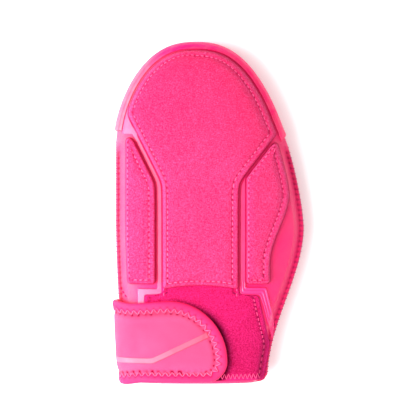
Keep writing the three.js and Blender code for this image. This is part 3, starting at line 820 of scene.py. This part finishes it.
def seam_places(low, high):
    """The places of the side seam's loops between two places along the body."""
    first = math.ceil(low / STITCH_PITCH)
    return [k * STITCH_PITCH for k in range(first, int(high / STITCH_PITCH) + 1)]


side_loops = [seam_loop(along, False) for along in seam_places(66.0, 190.0)]
side_loops += [seam_loop(along, True) for along in seam_places(8.0, 183.0)]
thread_piece("side_seam_thread", side_loops, seam_thread_fibre, "neoprene", SEAM_THREAD_RADIUS)


def slit_stitches():
    """The short diagonal seam that ends the slit beside the strap."""
    start, end = Vector((*SLIT_TOP, 0.0)), Vector((*SLIT_END, 0.0))
    paths = []
    for k in range(SLIT_STITCHES):
        ends = []
        for share in ((k + 0.1) / SLIT_STITCHES, (k + 0.8) / SLIT_STITCHES):
            plan = start.lerp(end, share)
            ends.append(Vector((plan.x, plan.y, back_height(plan.x, plan.y) + 0.35)))
        paths.append(straight_stitch(*ends, rise=0.3, sunk=0.1))
    return paths


thread_piece("slit_thread", slit_stitches(), seam_thread_fibre, "neoprene", SLIT_THREAD_RADIUS)


# The guard


def guard_piece():
    """The moulded cap: a lip on the back, round the fingertip edge, and a lip on the palm."""
    outer = LAYER_GAP + GUARD_WALL

    def plan(v, inset):
        """A point this far inside the guard's outline, from its little finger's end to its thumb's end."""
        grow = outer - inset
        tip = BODY_LENGTH + grow
        if v < GUARD_SPLIT:
            turn = v / GUARD_SPLIT * math.pi / 2
            along = GUARD_LITTLE_END + (tip - GUARD_LITTLE_END) * math.sin(turn)
            return outline(along, grow)[0], along
        turn = (1 - v) / (1 - GUARD_SPLIT) * math.pi / 2
        end = GUARD_THUMB_END + GUARD_SLANT * (GUARD_WIDTH / 2 - inset)
        along = end + (tip - end) * math.sin(turn)
        return outline(along, grow)[1], along

    def place(u, v):
        share = spread_share(v, 1.0, 0.012, 0.03)
        whole = dome(min(share, 1 - share) / 0.007)
        outside = u < 0.5
        t = 2 * u if outside else 2 * (1 - u)
        spread = ease(abs(2 * t - 1), 0.0, 1.0)
        buried = GUARD_WALL * (1 - spread)
        inset = GUARD_WIDTH * spread + (buried * (1 - whole) if outside else buried)
        x, along = plan(share, inset)
        lip = dome((GUARD_WIDTH - inset) / 1.0)
        bead = 0.55 + 0.45 * (1 - ease(inset, *GUARD_BEAD))
        wall = GUARD_WALL * lip * bead * whole if outside else 0.0
        rim = GUARD_WALL * (1 - ease(inset, 0.0, 2.0)) * whole if outside else 0.0
        grow = LAYER_GAP + max(wall, rim)
        z = face_height(x, along, grow, palm=t > 0.5)
        # Painted highlight on the back lip at the little finger's side, which faces the lamps.
        facing = math.cos(min(share / GUARD_SPLIT, 1.0) * math.pi / 2)
        highlight_and_wear = 0.9 * ease(facing, *GUARD_PAINTED_HIGHLIGHT) if t <= 0.5 else 0.0
        return spot(Vector((x, along, z)), (t * GUARD_CLOTH[0], share * GUARD_CLOTH[1]), 0.0, highlight_and_wear)

    closed_piece("guard", GUARD_GRID, place, guard_rubber, "guard", "fingertip_guard")


# The pads


def soft_min(a, b, soft):
    """The smaller of two values, blended where they are closer than this."""
    blend = clamp(0.5 + (a - b) / (2 * soft))
    return lerp(a, b, blend) - soft * blend * (1 - blend)


def center_edge(side, along):
    """Half the centre pad's width: a head along the guard, a slanting shoulder and a straight waist."""
    little = side == "little"
    arc = abs(outline(along, -HEAD_INSET)[0 if little else 1])
    waist = WAIST_LITTLE if little else WAIST_THUMB
    shoulder = SHOULDER_LITTLE if little else SHOULDER_THUMB
    spread = along - WAIST_AT
    bend = waist + shoulder * (spread + math.sqrt(spread**2 + 12.0)) / 2
    return min(arc, soft_min(bend, arc, 2.5))


def thumb_pad_edge(along):
    """The outer edge of the thumb's side pad: the body's bulge, drawn in towards the pad's foot."""
    widest = outline(THUMB_PAD_SWELL_AT)[1] - THUMB_PAD_INSET
    bend = lerp(THUMB_PAD_FOOT_X, widest, ease(along, THUMB_PAD_NARROW_AT, THUMB_PAD_SWELL_AT))
    return soft_min(bend, outline(along)[1] - THUMB_PAD_INSET, 1.5)


PADS = {
    "center_pad": {
        "foot": CENTER_FOOT,
        "arch": CENTER_FOOT_ARCH,
        "top": BODY_LENGTH - HEAD_INSET,
        "round": True,
        "left": lambda along: -center_edge("little", along),
        "right": lambda along: center_edge("thumb", along),
        "channels": {"left": 4.3, "right": 5.0, "foot": 3.8, "top": 4.4},
        "grid": CENTER_PAD_GRID,
    },
    "little_side_pad": {
        "foot": PAD_FOOT,
        "arch": 0.0,
        "top": LITTLE_PAD_TOP,
        "round": False,
        "left": lambda along: outline(along)[0] + LITTLE_PAD_INSET,
        "right": lambda along: -center_edge("little", along) - GROOVE_LITTLE,
        "channels": {"left": 2.2, "right": 5.0, "foot": 3.4, "top": 4.4},
        "grid": SIDE_PAD_GRID,
    },
    "thumb_side_pad": {
        "foot": PAD_FOOT,
        "arch": 0.0,
        "top": THUMB_PAD_TOP,
        "round": False,
        "left": lambda along: max(WAIST_THUMB + GROOVE_THUMB, center_edge("thumb", along) + GROOVE_NARROW),
        "right": thumb_pad_edge,
        "channels": {"left": 2.2, "right": 5.2, "foot": 3.4, "top": 5.0},
        "grid": SIDE_PAD_GRID,
    },
}


def spread_share(share, length, fine, dense):
    """A place on a length by its share, with a dense part of the shares in the fine stretch at each end."""
    fine = min(fine, 0.4 * length)
    if share < dense:
        return fine * share / dense
    if share > 1 - dense:
        return length - fine * (1 - share) / dense
    return lerp(fine, length - fine, (share - dense) / (1 - 2 * dense))


class PadForm:
    """The plan and the height of a padded, stitched piece on the back."""

    def __init__(self, pad):
        self.pad = pad
        sides = [("foot", lambda t: (t, 0.0)), ("right", lambda t: (1.0, t))]
        sides += [("top", lambda t: (1 - t, 1.0)), ("left", lambda t: (0.0, 1 - t))]
        self.rim, self.run, channel = [], [], []
        length = 0.0
        for side, share in sides:
            steps = 2 * RIM_STEPS if side in ("left", "right") else RIM_STEPS
            for i in range(steps):
                point = self.plan(*share(i / steps))
                if self.rim:
                    step = (point - self.rim[-1]).length
                    if step < RIM_LEAST_STEP:
                        continue
                    length += step
                self.rim.append(point)
                self.run.append(length)
                channel.append(pad["channels"][side])
        self.length = length + (self.rim[0] - self.rim[-1]).length
        self.pitch = self.length / round(self.length / STITCH_PITCH)
        count = len(self.rim)
        reach = 16
        near = range(-reach, reach + 1)
        self.channel = [sum(channel[(i + k) % count] for k in near) / len(near) for i in range(count)]
        # How much each point of the rim faces the lamps at the left, for the painted highlight on the pad's
        # edges.
        self.facing = [clamp(self.inward(i).x) for i in range(count)]
        self.tree = finder(self.rim)

    def inward(self, i):
        """The direction in plan from a point of the rim into the pad."""
        along = self.rim[(i + 3) % len(self.rim)] - self.rim[i - 3]
        return Vector((-along.y, along.x, 0.0)).normalized()

    def plan(self, u, v):
        """A plan point by its shares, with round corners at a square end."""
        pad = self.pad
        length = pad["top"] - pad["foot"]
        along = pad["foot"] + spread_share(v, length, 9.0, 0.1)
        if pad["round"] and along > TIP_ARC_AT:
            turn = clamp((along - TIP_ARC_AT) / (pad["top"] - TIP_ARC_AT))
            along = lerp(TIP_ARC_AT, pad["top"], math.sin(turn * math.pi / 2))
        up = along - pad["foot"]
        left, right = pad["left"](along), pad["right"](along)
        width = max(right - left, 0.0)
        across = spread_share(u, width, 8.0, 0.24)
        radius = min(PAD_CORNER, 0.45 * width)
        near = min(across, width - across)
        for k, end in enumerate([up] if pad["round"] else [up, length - up]):
            if near < radius and end < radius:
                p, q = 1 - near / radius, 1 - end / radius
                moved = radius * (1 - p * math.sqrt(1 - q * q / 2)) - near
                across += moved if across < width / 2 else -moved
                shift = radius * (1 - q * math.sqrt(1 - p * p / 2)) - end
                along += shift if k == 0 else -shift
        if pad["arch"] and up < ARCH_REACH:
            bow = 1 - (2 * across / width - 1) ** 2
            along += pad["arch"] * bow * (1 - up / ARCH_REACH)
        return Vector((left + across, along, 0.0))

    def surface(self, point):
        """The pad's height over the body, how far it is pulled in by thread, its painted shade and its
        painted highlight and wear.
        """
        _, index, distance = self.tree.find(Vector((point.x, point.y, 0.0)))
        channel = self.channel[index]
        beat = math.cos(2 * math.pi * self.run[index] / self.pitch)
        hole = max(0.0, beat) ** 3
        height = EDGE_FOOT + (PAD_THICKNESS - 0.3 - EDGE_FOOT) * dome(distance / EDGE_ROUND)
        pull = hump(distance, channel, CHANNEL_PULL)
        height -= pull * (0.6 + 0.5 * hole)
        height += 0.5 * ease(distance, channel + 0.6, channel + 5.0)
        height += 0.1 * beat * hump(distance, channel + 1.6, 0.9)
        height += 0.25 * ripple(point, 24.0, 5.0) * ease(distance, channel, channel + 8.0)
        # Painted shade at the foot of the pad's edge, and in the thread's channel below.
        painted_edge_shade = 0.9 * (1 - ease(distance, 0.0, 1.2))
        painted_shade = clamp(max(pull * (0.22 + 0.6 * hole), painted_edge_shade))
        # Painted highlight on edges that face the lamps at the left, with a little wear all round.
        highlight_and_wear = (0.15 + 1.05 * self.facing[index]) * hump(distance, 0.45 * channel, 0.35 * channel)
        return height, painted_shade, highlight_and_wear

    def top(self, point):
        """The point of the pad's face over a plan point."""
        return Vector((point.x, point.y, back_height(point.x, point.y) + LAYER_GAP + self.surface(point)[0]))

    def stitches(self):
        """The paths of the thread in the channel: one from each needle hole to the next."""
        line = []
        for i, point in enumerate(self.rim):
            inside = point + self.inward(i) * self.channel[i]
            if self.tree.find(inside)[2] > 0.95 * self.channel[i]:
                line.append((self.run[i], inside))
        paths = []
        for k in range(round(self.length / self.pitch)):
            ends = []
            for run in (k * self.pitch + HOLE_EDGE, (k + 1) * self.pitch - HOLE_EDGE):
                nearest = min(line, key=lambda item: abs(item[0] - run))
                ends.append(self.top(nearest[1]))
            if 0.6 * self.pitch < (ends[1] - ends[0]).length < 1.3 * self.pitch:
                paths.append(straight_stitch(*ends, rise=0.2, sunk=0.05))
        return paths


def pad_piece(name, pad):
    """One raised pad and its thread."""
    form = PadForm(pad)

    def place(u, v):
        plan = form.plan(u, v)
        height, painted_shade, highlight_and_wear = form.surface(plan)
        z = back_height(plan.x, plan.y) + LAYER_GAP + height
        return spot(Vector((plan.x, plan.y, z)), (plan.x, plan.y), painted_shade, highlight_and_wear)

    bm = mapped_grid(*pad["grid"], place)
    face_up(bm)
    back_with(bm, 0.12)
    piece = make_piece(name + "_soft", bm, pad_cloth, "brushed_pad", name)
    thread_piece(name + "_thread", form.stitches(), pad_thread_fibre, "brushed_pad",
                 PAD_THREAD_RADIUS)


guard_piece()
for pad_name, pad_plan in PADS.items():
    pad_piece(pad_name, pad_plan)


# Flat trim between two edges


def rounded(points, cut, samples=6):
    """A line with its corners rounded, this far back from each."""
    points = [Vector((x, along, 0.0)) for x, along in points]
    line = [points[0]]
    for before, corner, after in zip(points, points[1:], points[2:]):
        start = corner + (before - corner).normalized() * min(cut, 0.45 * (before - corner).length)
        end = corner + (after - corner).normalized() * min(cut, 0.45 * (after - corner).length)
        for i in range(samples + 1):
            t = i / samples
            line.append(start.lerp(corner, t).lerp(corner.lerp(end, t), t))
    line.append(points[-1])
    return line


class Band:
    """A thin piece between two lines of the same number of points."""

    def __init__(self, left, right):
        self.left, self.right = left, right
        self.run = lengths_along([a.lerp(b, 0.5) for a, b in zip(left, right)])

    def at(self, across, share):
        """A plan point, how far along the band it is and its distance to the nearest side."""
        run = share * self.run[-1]
        after, t = step_at(self.run, run)
        left = self.left[after - 1].lerp(self.left[after], t)
        right = self.right[after - 1].lerp(self.right[after], t)
        return left.lerp(right, across), run, (right - left).length


def band_piece(name, band, grid, height, material, slot, *nodes):
    """A closed, thin piece on the back. The height function gives its height over the body, its painted shade
    and its share of painted highlight and wear.
    """

    def place(u, v):
        width = band.at(0.5, v)[2]
        across = spread_share(u, 1.0, min(0.3, 1.6 / max(width, 1e-3)), 0.22)
        plan, run, width = band.at(across, spread_share(v, 1.0, 2.0 / band.run[-1], 0.04))
        rise, painted_shade, highlight_and_wear = height(across, run, width, plan)
        return spot(plan + UP * (back_height(plan.x, plan.y) + rise), (plan.x, plan.y), painted_shade, highlight_and_wear)

    bm = mapped_grid(*grid, place)
    face_up(bm)
    back_with(bm, 0.05)
    return make_piece(name, bm, material, slot, *nodes)


def film_height(band, ridge_from=1e9):
    """A press-bonded film: rounded borders, and fine ridges along it past a place."""

    def height(across, run, width, plan):
        side = min(across, 1 - across) * width
        end = min(run, band.run[-1] - run)
        edge = dome(min(side, end) / FILM_ROUND)
        ridges = FILM_RIDGE_HEIGHT * math.cos(2 * math.pi * FILM_RIDGES * (across - 0.5))
        ridges *= ease(run, ridge_from, ridge_from + 4.0)
        return LAYER_GAP + FILM_THICKNESS * (0.35 + 0.65 * edge) + ridges * edge, 0.0, 1 - edge

    return height


def groove_lines(side, top, foot):
    """The film's two sides in a groove from its top to its foot: at the side pad and at the centre pad. It is
    narrower than the groove, and lies against its right wall."""
    sign = -1.0 if side == "little" else 1.0
    places = [lerp(top, foot, i / GROOVE_STEPS) for i in range(GROOVE_STEPS + 1)]
    reach = GROOVE_LITTLE if side == "little" else GROOVE_THUMB
    shaded, lit = 1.15, 0.15
    inner = lit if side == "little" else shaded
    outer = shaded if side == "little" else lit
    near = [(sign * (center_edge(side, along) + inner), along) for along in places]
    far = []
    for along in places:
        gap = reach
        if side == "thumb":
            gap = max(GROOVE_NARROW, WAIST_THUMB + GROOVE_THUMB - center_edge(side, along))
        far.append((sign * (center_edge(side, along) + max(gap - outer, inner + 0.3)), along))
    return far, near


def film_little():
    """The film from the guard's end down the little finger's groove and under the strap."""
    far, near = groove_lines("little", 191.0, 78.0)
    guard_gap = GUARD_WIDTH - LAYER_GAP - GUARD_WALL + 0.2
    head_far = [(outline(along, -guard_gap)[0], along) for along in FILM_HEAD_PLACES]
    head_near = [(-center_edge("little", along) - 0.2, along) for along in FILM_HEAD_PLACES]
    far = head_far + [(outline(192.3, -guard_gap)[0], 192.3), (far[0][0] - 0.3, 192.2)] + far
    near = head_near + [(near[0][0], 194.0), (near[0][0], 192.6)] + near
    far += [(far[-1][0], FOOT_BAND_TOP - 1.0), (FILM_LITTLE_TURN - FILM_WIDTH / 2, FOOT_BAND_TOP - 1.0)]
    far += [(FILM_LITTLE_TURN - FILM_WIDTH / 2, FILM_LITTLE_END)]
    near += [(near[-1][0], FOOT_BAND_LOW), (FILM_LITTLE_TURN + FILM_WIDTH / 2, FOOT_BAND_LOW)]
    near += [(FILM_LITTLE_TURN + FILM_WIDTH / 2, FILM_LITTLE_END)]
    return Band(rounded(far, 1.0), rounded(near, 2.0))


def film_thumb():
    """The film down the thumb's groove, out under the pad's foot and along the patch to the edge."""
    far, near = groove_lines("thumb", 166.0, 78.0)
    far += [(far[-1][0], FOOT_BAND_TOP), (54.3, FOOT_BAND_TOP - 0.4)]
    far += [(59.1, 54.5), (60.7, 45.9), (59.9, 34.5)]
    near += [(near[-1][0], FOOT_BAND_LOW), (49.0, FOOT_BAND_LOW), (52.0, 60.7), (55.6, 46.5), (58.4, 35.2)]
    return Band(rounded(far, 1.2), rounded(near, 2.0))


little_band = film_little()
thumb_band = film_thumb()
band_piece("film_little_soft", little_band, FILM_LITTLE_GRID, film_height(little_band), lit_side_film_gloss,
           "film", "film_little")
band_piece("film_thumb_soft", thumb_band, FILM_THUMB_GRID, film_height(thumb_band, 88.0), film_gloss,
           "film", "film_thumb")


# The patch at the wrist

PATCH_LEFT = [(-26.2, 78.0), (-26.2, 69.6), (-39.4, 67.6), (-40.0, 50.0), (-44.0, 20.0), (-46.0, 2.6)]
CUFF_ZIGZAG = {"from": 14.0, "to": 47.0, "low": 3.6, "high": 8.0, "pitch": 3.2}
PATCH_RIGHT = [(33.2, 78.0), (33.2, 68.9), (48.4, 67.9), (51.6, 53.5), (57.4, 30.0), (52.4, 2.6)]

patch_band = Band(rounded(PATCH_LEFT, 2.0), rounded(PATCH_RIGHT, 3.0))


def tab_quarter(upper):
    """The reach and the height of the upper or the lower round of the strap's free tab."""
    if upper:
        return TAB_SWEEP, STRAP_WIDTH - STRAP_OVERHANG - TAB_NOSE_AT
    return TAB_CORNER, TAB_NOSE_AT + STRAP_OVERHANG


def beyond_tab(plan):
    """How far a place on the back is outside the strap's free tab, beside whose edge a shadow is painted on
    the patch.
    """
    reach, height = tab_quarter(plan.y > TAB_NOSE_AT)
    out = math.hypot((plan.x - TAB_REACH + reach) / reach, (plan.y - TAB_NOSE_AT) / height)
    return (out - 1) * reach


def patch_height(across, run, width, plan):
    """A thick brushed cloth with a rolled border and a line of thread inside it, painted shade in the
    thread's channel and a painted shadow beside the strap's tab.
    """
    side = min(across, 1 - across) * width
    foot = patch_band.run[-1] - run
    edge = min(side, foot)
    height = LAYER_GAP + PATCH_THICKNESS * (0.25 + 0.75 * dome(edge / PATCH_ROUND))
    pull = hump(side, PATCH_CHANNEL, 0.8)
    height -= 0.55 * pull
    height += 0.12 * ripple(plan, 16.0, 3.0)
    beat = wave(run, STITCH_PITCH)
    # Painted shadow beside the strap's free tab.
    painted_tab_shadow = 0.98 * hump(max(beyond_tab(plan), 0.0), 0.0, 3.2) * (1 - ease(plan.y, 44.0, 62.0))
    return height, clamp(max(pull * (0.2 + 0.7 * beat**3), painted_tab_shadow)), hump(edge, 0.8, 0.8)


patch_soft = band_piece("wrist_patch_soft", patch_band, PATCH_GRID, patch_height, patch_cloth,
                        "patch", "wrist_patch")


def on_patch(plan, over=0.1):
    """The point this far over the patch's cloth at a plan point."""
    return Vector((plan.x, plan.y, back_height(plan.x, plan.y) + LAYER_GAP + PATCH_THICKNESS + over))


def patch_threads():
    """A line of stitches inside the right border, and a zigzag along the cuff."""
    paths = []
    steps = int(patch_band.run[-1] / STITCH_PITCH)
    for k in range(steps):
        ends = []
        for run in (k * STITCH_PITCH + HOLE_EDGE, (k + 1) * STITCH_PITCH - HOLE_EDGE):
            share = run / patch_band.run[-1]
            width = patch_band.at(0.5, share)[2]
            ends.append(on_patch(patch_band.at(1 - PATCH_CHANNEL / width, share)[0], -0.45))
        if ends[0].y < 66.0:
            paths.append(straight_stitch(*ends, rise=0.2, sunk=0.05))
    for x, top, low in ((WAIST_THUMB - 1.6, 74.6, 63.0), (-WAIST_LITTLE + 1.2, 75.0, 66.5)):
        for k in range(int((top - low) / STITCH_PITCH)):
            offs = (0.4, STITCH_PITCH - 0.4)
            ends = [on_patch(Vector((x, top - STITCH_PITCH * k - off, 0.0)), -0.1) for off in offs]
            paths.append(straight_stitch(*ends, rise=0.3))
    x = CUFF_ZIGZAG["from"]
    while x < CUFF_ZIGZAG["to"]:
        low = on_patch(Vector((x, CUFF_ZIGZAG["low"], 0.0)), 0.0)
        high = on_patch(Vector((x + CUFF_ZIGZAG["pitch"] / 2, CUFF_ZIGZAG["high"], 0.0)), 0.0)
        next_low = on_patch(Vector((x + CUFF_ZIGZAG["pitch"], CUFF_ZIGZAG["low"], 0.0)), 0.0)
        paths += [straight_stitch(low, high), straight_stitch(high, next_low)]
        x += CUFF_ZIGZAG["pitch"]
    return paths


thread_piece("wrist_patch_thread", patch_threads(), patch_thread_fibre, "patch")


# The strap


def tab_edge(turn, inset):
    """The edge of the strap's free tab, drawn in: x and the place along the body."""
    reach, height = tab_quarter(turn > 0)
    x = TAB_REACH - inset - (reach - inset) * (1 - math.cos(turn))
    return x, TAB_NOSE_AT + (height - inset) * math.sin(turn)


def over_patch(angle):
    """How far the patch on the back lifts the strap."""
    return (PATCH_THICKNESS + LAYER_GAP) * ease(angle, 0.0, math.pi / 4)


def strap_point(turn, share, inset, over):
    """A point of the strap from its tab over the little finger's side to its end under the wrist."""
    x, along = tab_edge(turn, inset)
    start = angle_at(x, along, STRAP_MIDDLE)
    angle = lerp(start, -angle_at(STRAP_END, along, STRAP_MIDDLE), share)
    rise = TAB_RISE * (1 - ease(along, 0.0, TAB_NOSE_AT)) * ease(angle, math.pi / 8, math.pi / 3)
    point = skin(along + rise, angle, STRAP_MIDDLE + over + over_patch(angle))
    upper = ease(along, 30.0, STRAP_WIDTH)
    point.y -= STRAP_SAG * upper * hump(point.x, -50.0, 20.0) * ease(angle, 0.1, 0.8)
    point.x += STRAP_SAG * (1 - ease(along, -1.0, 18.0)) * (1 - ease(abs(angle), 0.5, 1.3))
    return point


def strap_seam_rows():
    """The turn and share of each step of the strap's border: its lower side, the tab, its upper side."""
    half, steps = math.pi / 2, BORDER_STEPS
    rows = [(-half, 1 - i / steps) for i in range(steps)]
    rows += [(-half + math.pi * i / steps, 0.0) for i in range(steps)]
    rows += [(half, i / steps) for i in range(steps + 1)]
    return rows


class StrapBorder:
    """The strap's border measured along its seam."""

    def __init__(self):
        self.rows = strap_seam_rows()
        points = [strap_point(turn, share, ROLL_WIDTH, 0.0) for turn, share in self.rows]
        self.run = lengths_along(points)
        self.tree = finder(points)

    def at(self, run, inset, over):
        """A point this far along the border, this far in from its edge and this far over its middle."""
        after, t = step_at(self.run, clamp(run, 0.0, self.run[-1]))
        a, b = self.rows[after - 1], self.rows[after]
        return strap_point(lerp(a[0], b[0], t), lerp(a[1], b[1], t), inset, over)


border = StrapBorder()


def strap_face_piece():
    """The strap's padded face, sunk along the seam of its rolled border."""

    def place(u, v):
        turn = math.pi / 2 * (2 * u - 1)
        inner, share = fold(v)
        share = spread_share(share, 1.0, 0.1, 0.18)
        middle = strap_point(turn, share, ROLL_WIDTH - STRAP_FACE_LAP, 0.0)
        _, index, distance = border.tree.find(middle)
        distance = max(distance - 0.6, 0.0)
        beat = wave(border.run[index] - SEAM_START, STRAP_PITCH)
        puff = 0.55 + 0.45 * ease(distance, 0.4, 5.0)
        side = -1.0 if inner else 1.0
        closing = dome(min(u, 1 - u) / 0.02)
        over = side * STRAP_CORE / 2 * puff * closing
        painted_shade = 0.0
        if not inner:
            over += 0.35 * ease(distance, 4.0, 16.0) + 0.12 * ripple(middle, 22.0, 9.0)
            over -= 0.5 * hump(distance, STRAP_HOLE_IN - 0.7, 0.8) * beat**2
            # Painted shade at the seam's needle holes.
            painted_shade = clamp(1.5 * hump(distance, STRAP_HOLE_IN - 0.7, 0.95) * (0.1 + 0.9 * beat**4))
        point = strap_point(turn, share, ROLL_WIDTH - STRAP_FACE_LAP, over)
        return spot(point, (share * STRAP_CLOTH, point.y), painted_shade, 0.3 * hump(distance, 5.0, 3.0))

    piece = closed_piece("strap_face", STRAP_GRID, place, strap_cloth, "strap", "wrist_strap")


def strap_roll_piece():
    """The rolled and sewn border: a soft tube flattened towards the seam."""

    def place(u, v):
        run = v * border.run[-1]
        turn = 2 * math.pi * u
        ends = dome(min(run, border.run[-1] - run) / 1.6)
        across = math.copysign(abs(math.cos(turn)) ** ROLL_ROUNDNESS, math.cos(turn))
        height = math.copysign(abs(math.sin(turn)) ** ROLL_ROUNDNESS, math.sin(turn))
        beat = 1 - wave(run - SEAM_START, STRAP_PITCH)
        inset = ROLL_WIDTH / 2 * (1 - across)
        seam_side = ease(inset, 0.5 * ROLL_WIDTH, ROLL_WIDTH)
        thick = ROLL_THICKNESS / 2 * lerp(1.0, 0.72 - 0.14 * beat, seam_side) * ends
        over = thick * height + 0.18 * ripple(Vector((run, inset, 0.0)), 12.0) * max(height, 0.0)
        point = border.at(run, inset, over)
        # Painted shade at the needle holes on the border's top.
        painted_shade = hump(inset, ROLL_WIDTH - STRAP_HOLE_OUT, 0.8) * max(height, 0.0) * 0.9 * beat**4
        return spot(point, (run, inset), painted_shade, 0.4 * hump(inset, 2.0, 1.5) * max(height, 0.0))

    grid = (ROLL_SIDES, 2 * (len(border.rows) - 1))
    piece = closed_piece("strap_roll_soft", grid, place, roll_cloth, "strap", "strap_roll")


strap_face_piece()
strap_roll_piece()


def strap_threads():
    """A zigzag over the seam between the rolled border and the face."""
    paths = []
    for k in range(int(border.run[-1] / STRAP_PITCH) - 1):
        run = k * STRAP_PITCH + SEAM_START
        inner = border.at(run, ROLL_WIDTH + STRAP_HOLE_IN - 0.5, STRAP_CORE / 2 - 0.2)
        outer = border.at(run + STRAP_PITCH / 2, ROLL_WIDTH - STRAP_HOLE_OUT + 0.4, ROLL_THICKNESS / 2 - 0.3)
        after = border.at(run + STRAP_PITCH, ROLL_WIDTH + STRAP_HOLE_IN - 0.5, STRAP_CORE / 2 - 0.2)
        paths += [straight_stitch(inner, outer), straight_stitch(outer, after)]
    return paths


thread_piece("strap_thread", strap_threads(), strap_thread_fibre, "strap", STRAP_THREAD_RADIUS)


def strap_film_piece():
    """The narrow film stripe across the strap's face, bent up towards the tab's edge."""
    nose = tab_edge(STRIPE_END_TURN, ROLL_WIDTH + STRAP_FACE_LAP)
    line = [(STRIPE_START_X, STRIPE_AT), (STRIPE_BEND_X, STRIPE_AT), nose]
    ahead = (Vector(line[2]) - Vector(line[1])).normalized()
    half = STRIPE_WIDTH / 2
    bend = half * math.tan(math.atan2(ahead.y, ahead.x) / 2)
    normal = Vector((-ahead.y, ahead.x)) * half
    top, low = STRIPE_AT + half, STRIPE_AT - half
    upper = [(STRIPE_START_X, top), (STRIPE_BEND_X - bend, top), tuple(Vector(nose) + normal)]
    lower = [(STRIPE_START_X, low), (STRIPE_BEND_X + bend, low), tuple(Vector(nose) - normal)]
    band = Band(rounded(upper, 2.0), rounded(lower, 2.0))

    def place(u, v):
        inner, across = fold(u)
        plan, run, width = band.at(spread_share(across, 1.0, 0.2, 0.25), v)
        side = min(across, 1 - across) * width
        end = min(run, band.run[-1] - run)
        edge = dome(min(side, end) / STRIPE_ROUND)
        angle = angle_at(plan.x, plan.y, STRAP_MIDDLE)
        over = STRAP_CORE / 2 + 0.45 + (0.1 + 0.35 * edge if not inner else -0.5)
        over -= 0.5 * ease(plan.x, nose[0] - 5.0, nose[0] - 1.0)
        point = skin(plan.y, angle, STRAP_MIDDLE + over + over_patch(angle))
        # Painted highlight: lighter towards the stripe's end at the little finger's side, which faces the
        # lamps.
        return spot(point, (plan.x, plan.y), 0.0, 1 - v)

    closed_piece("strap_film_soft", STRAP_FILM_GRID, place, strap_film_gloss, "film", "strap_film")


strap_film_piece()
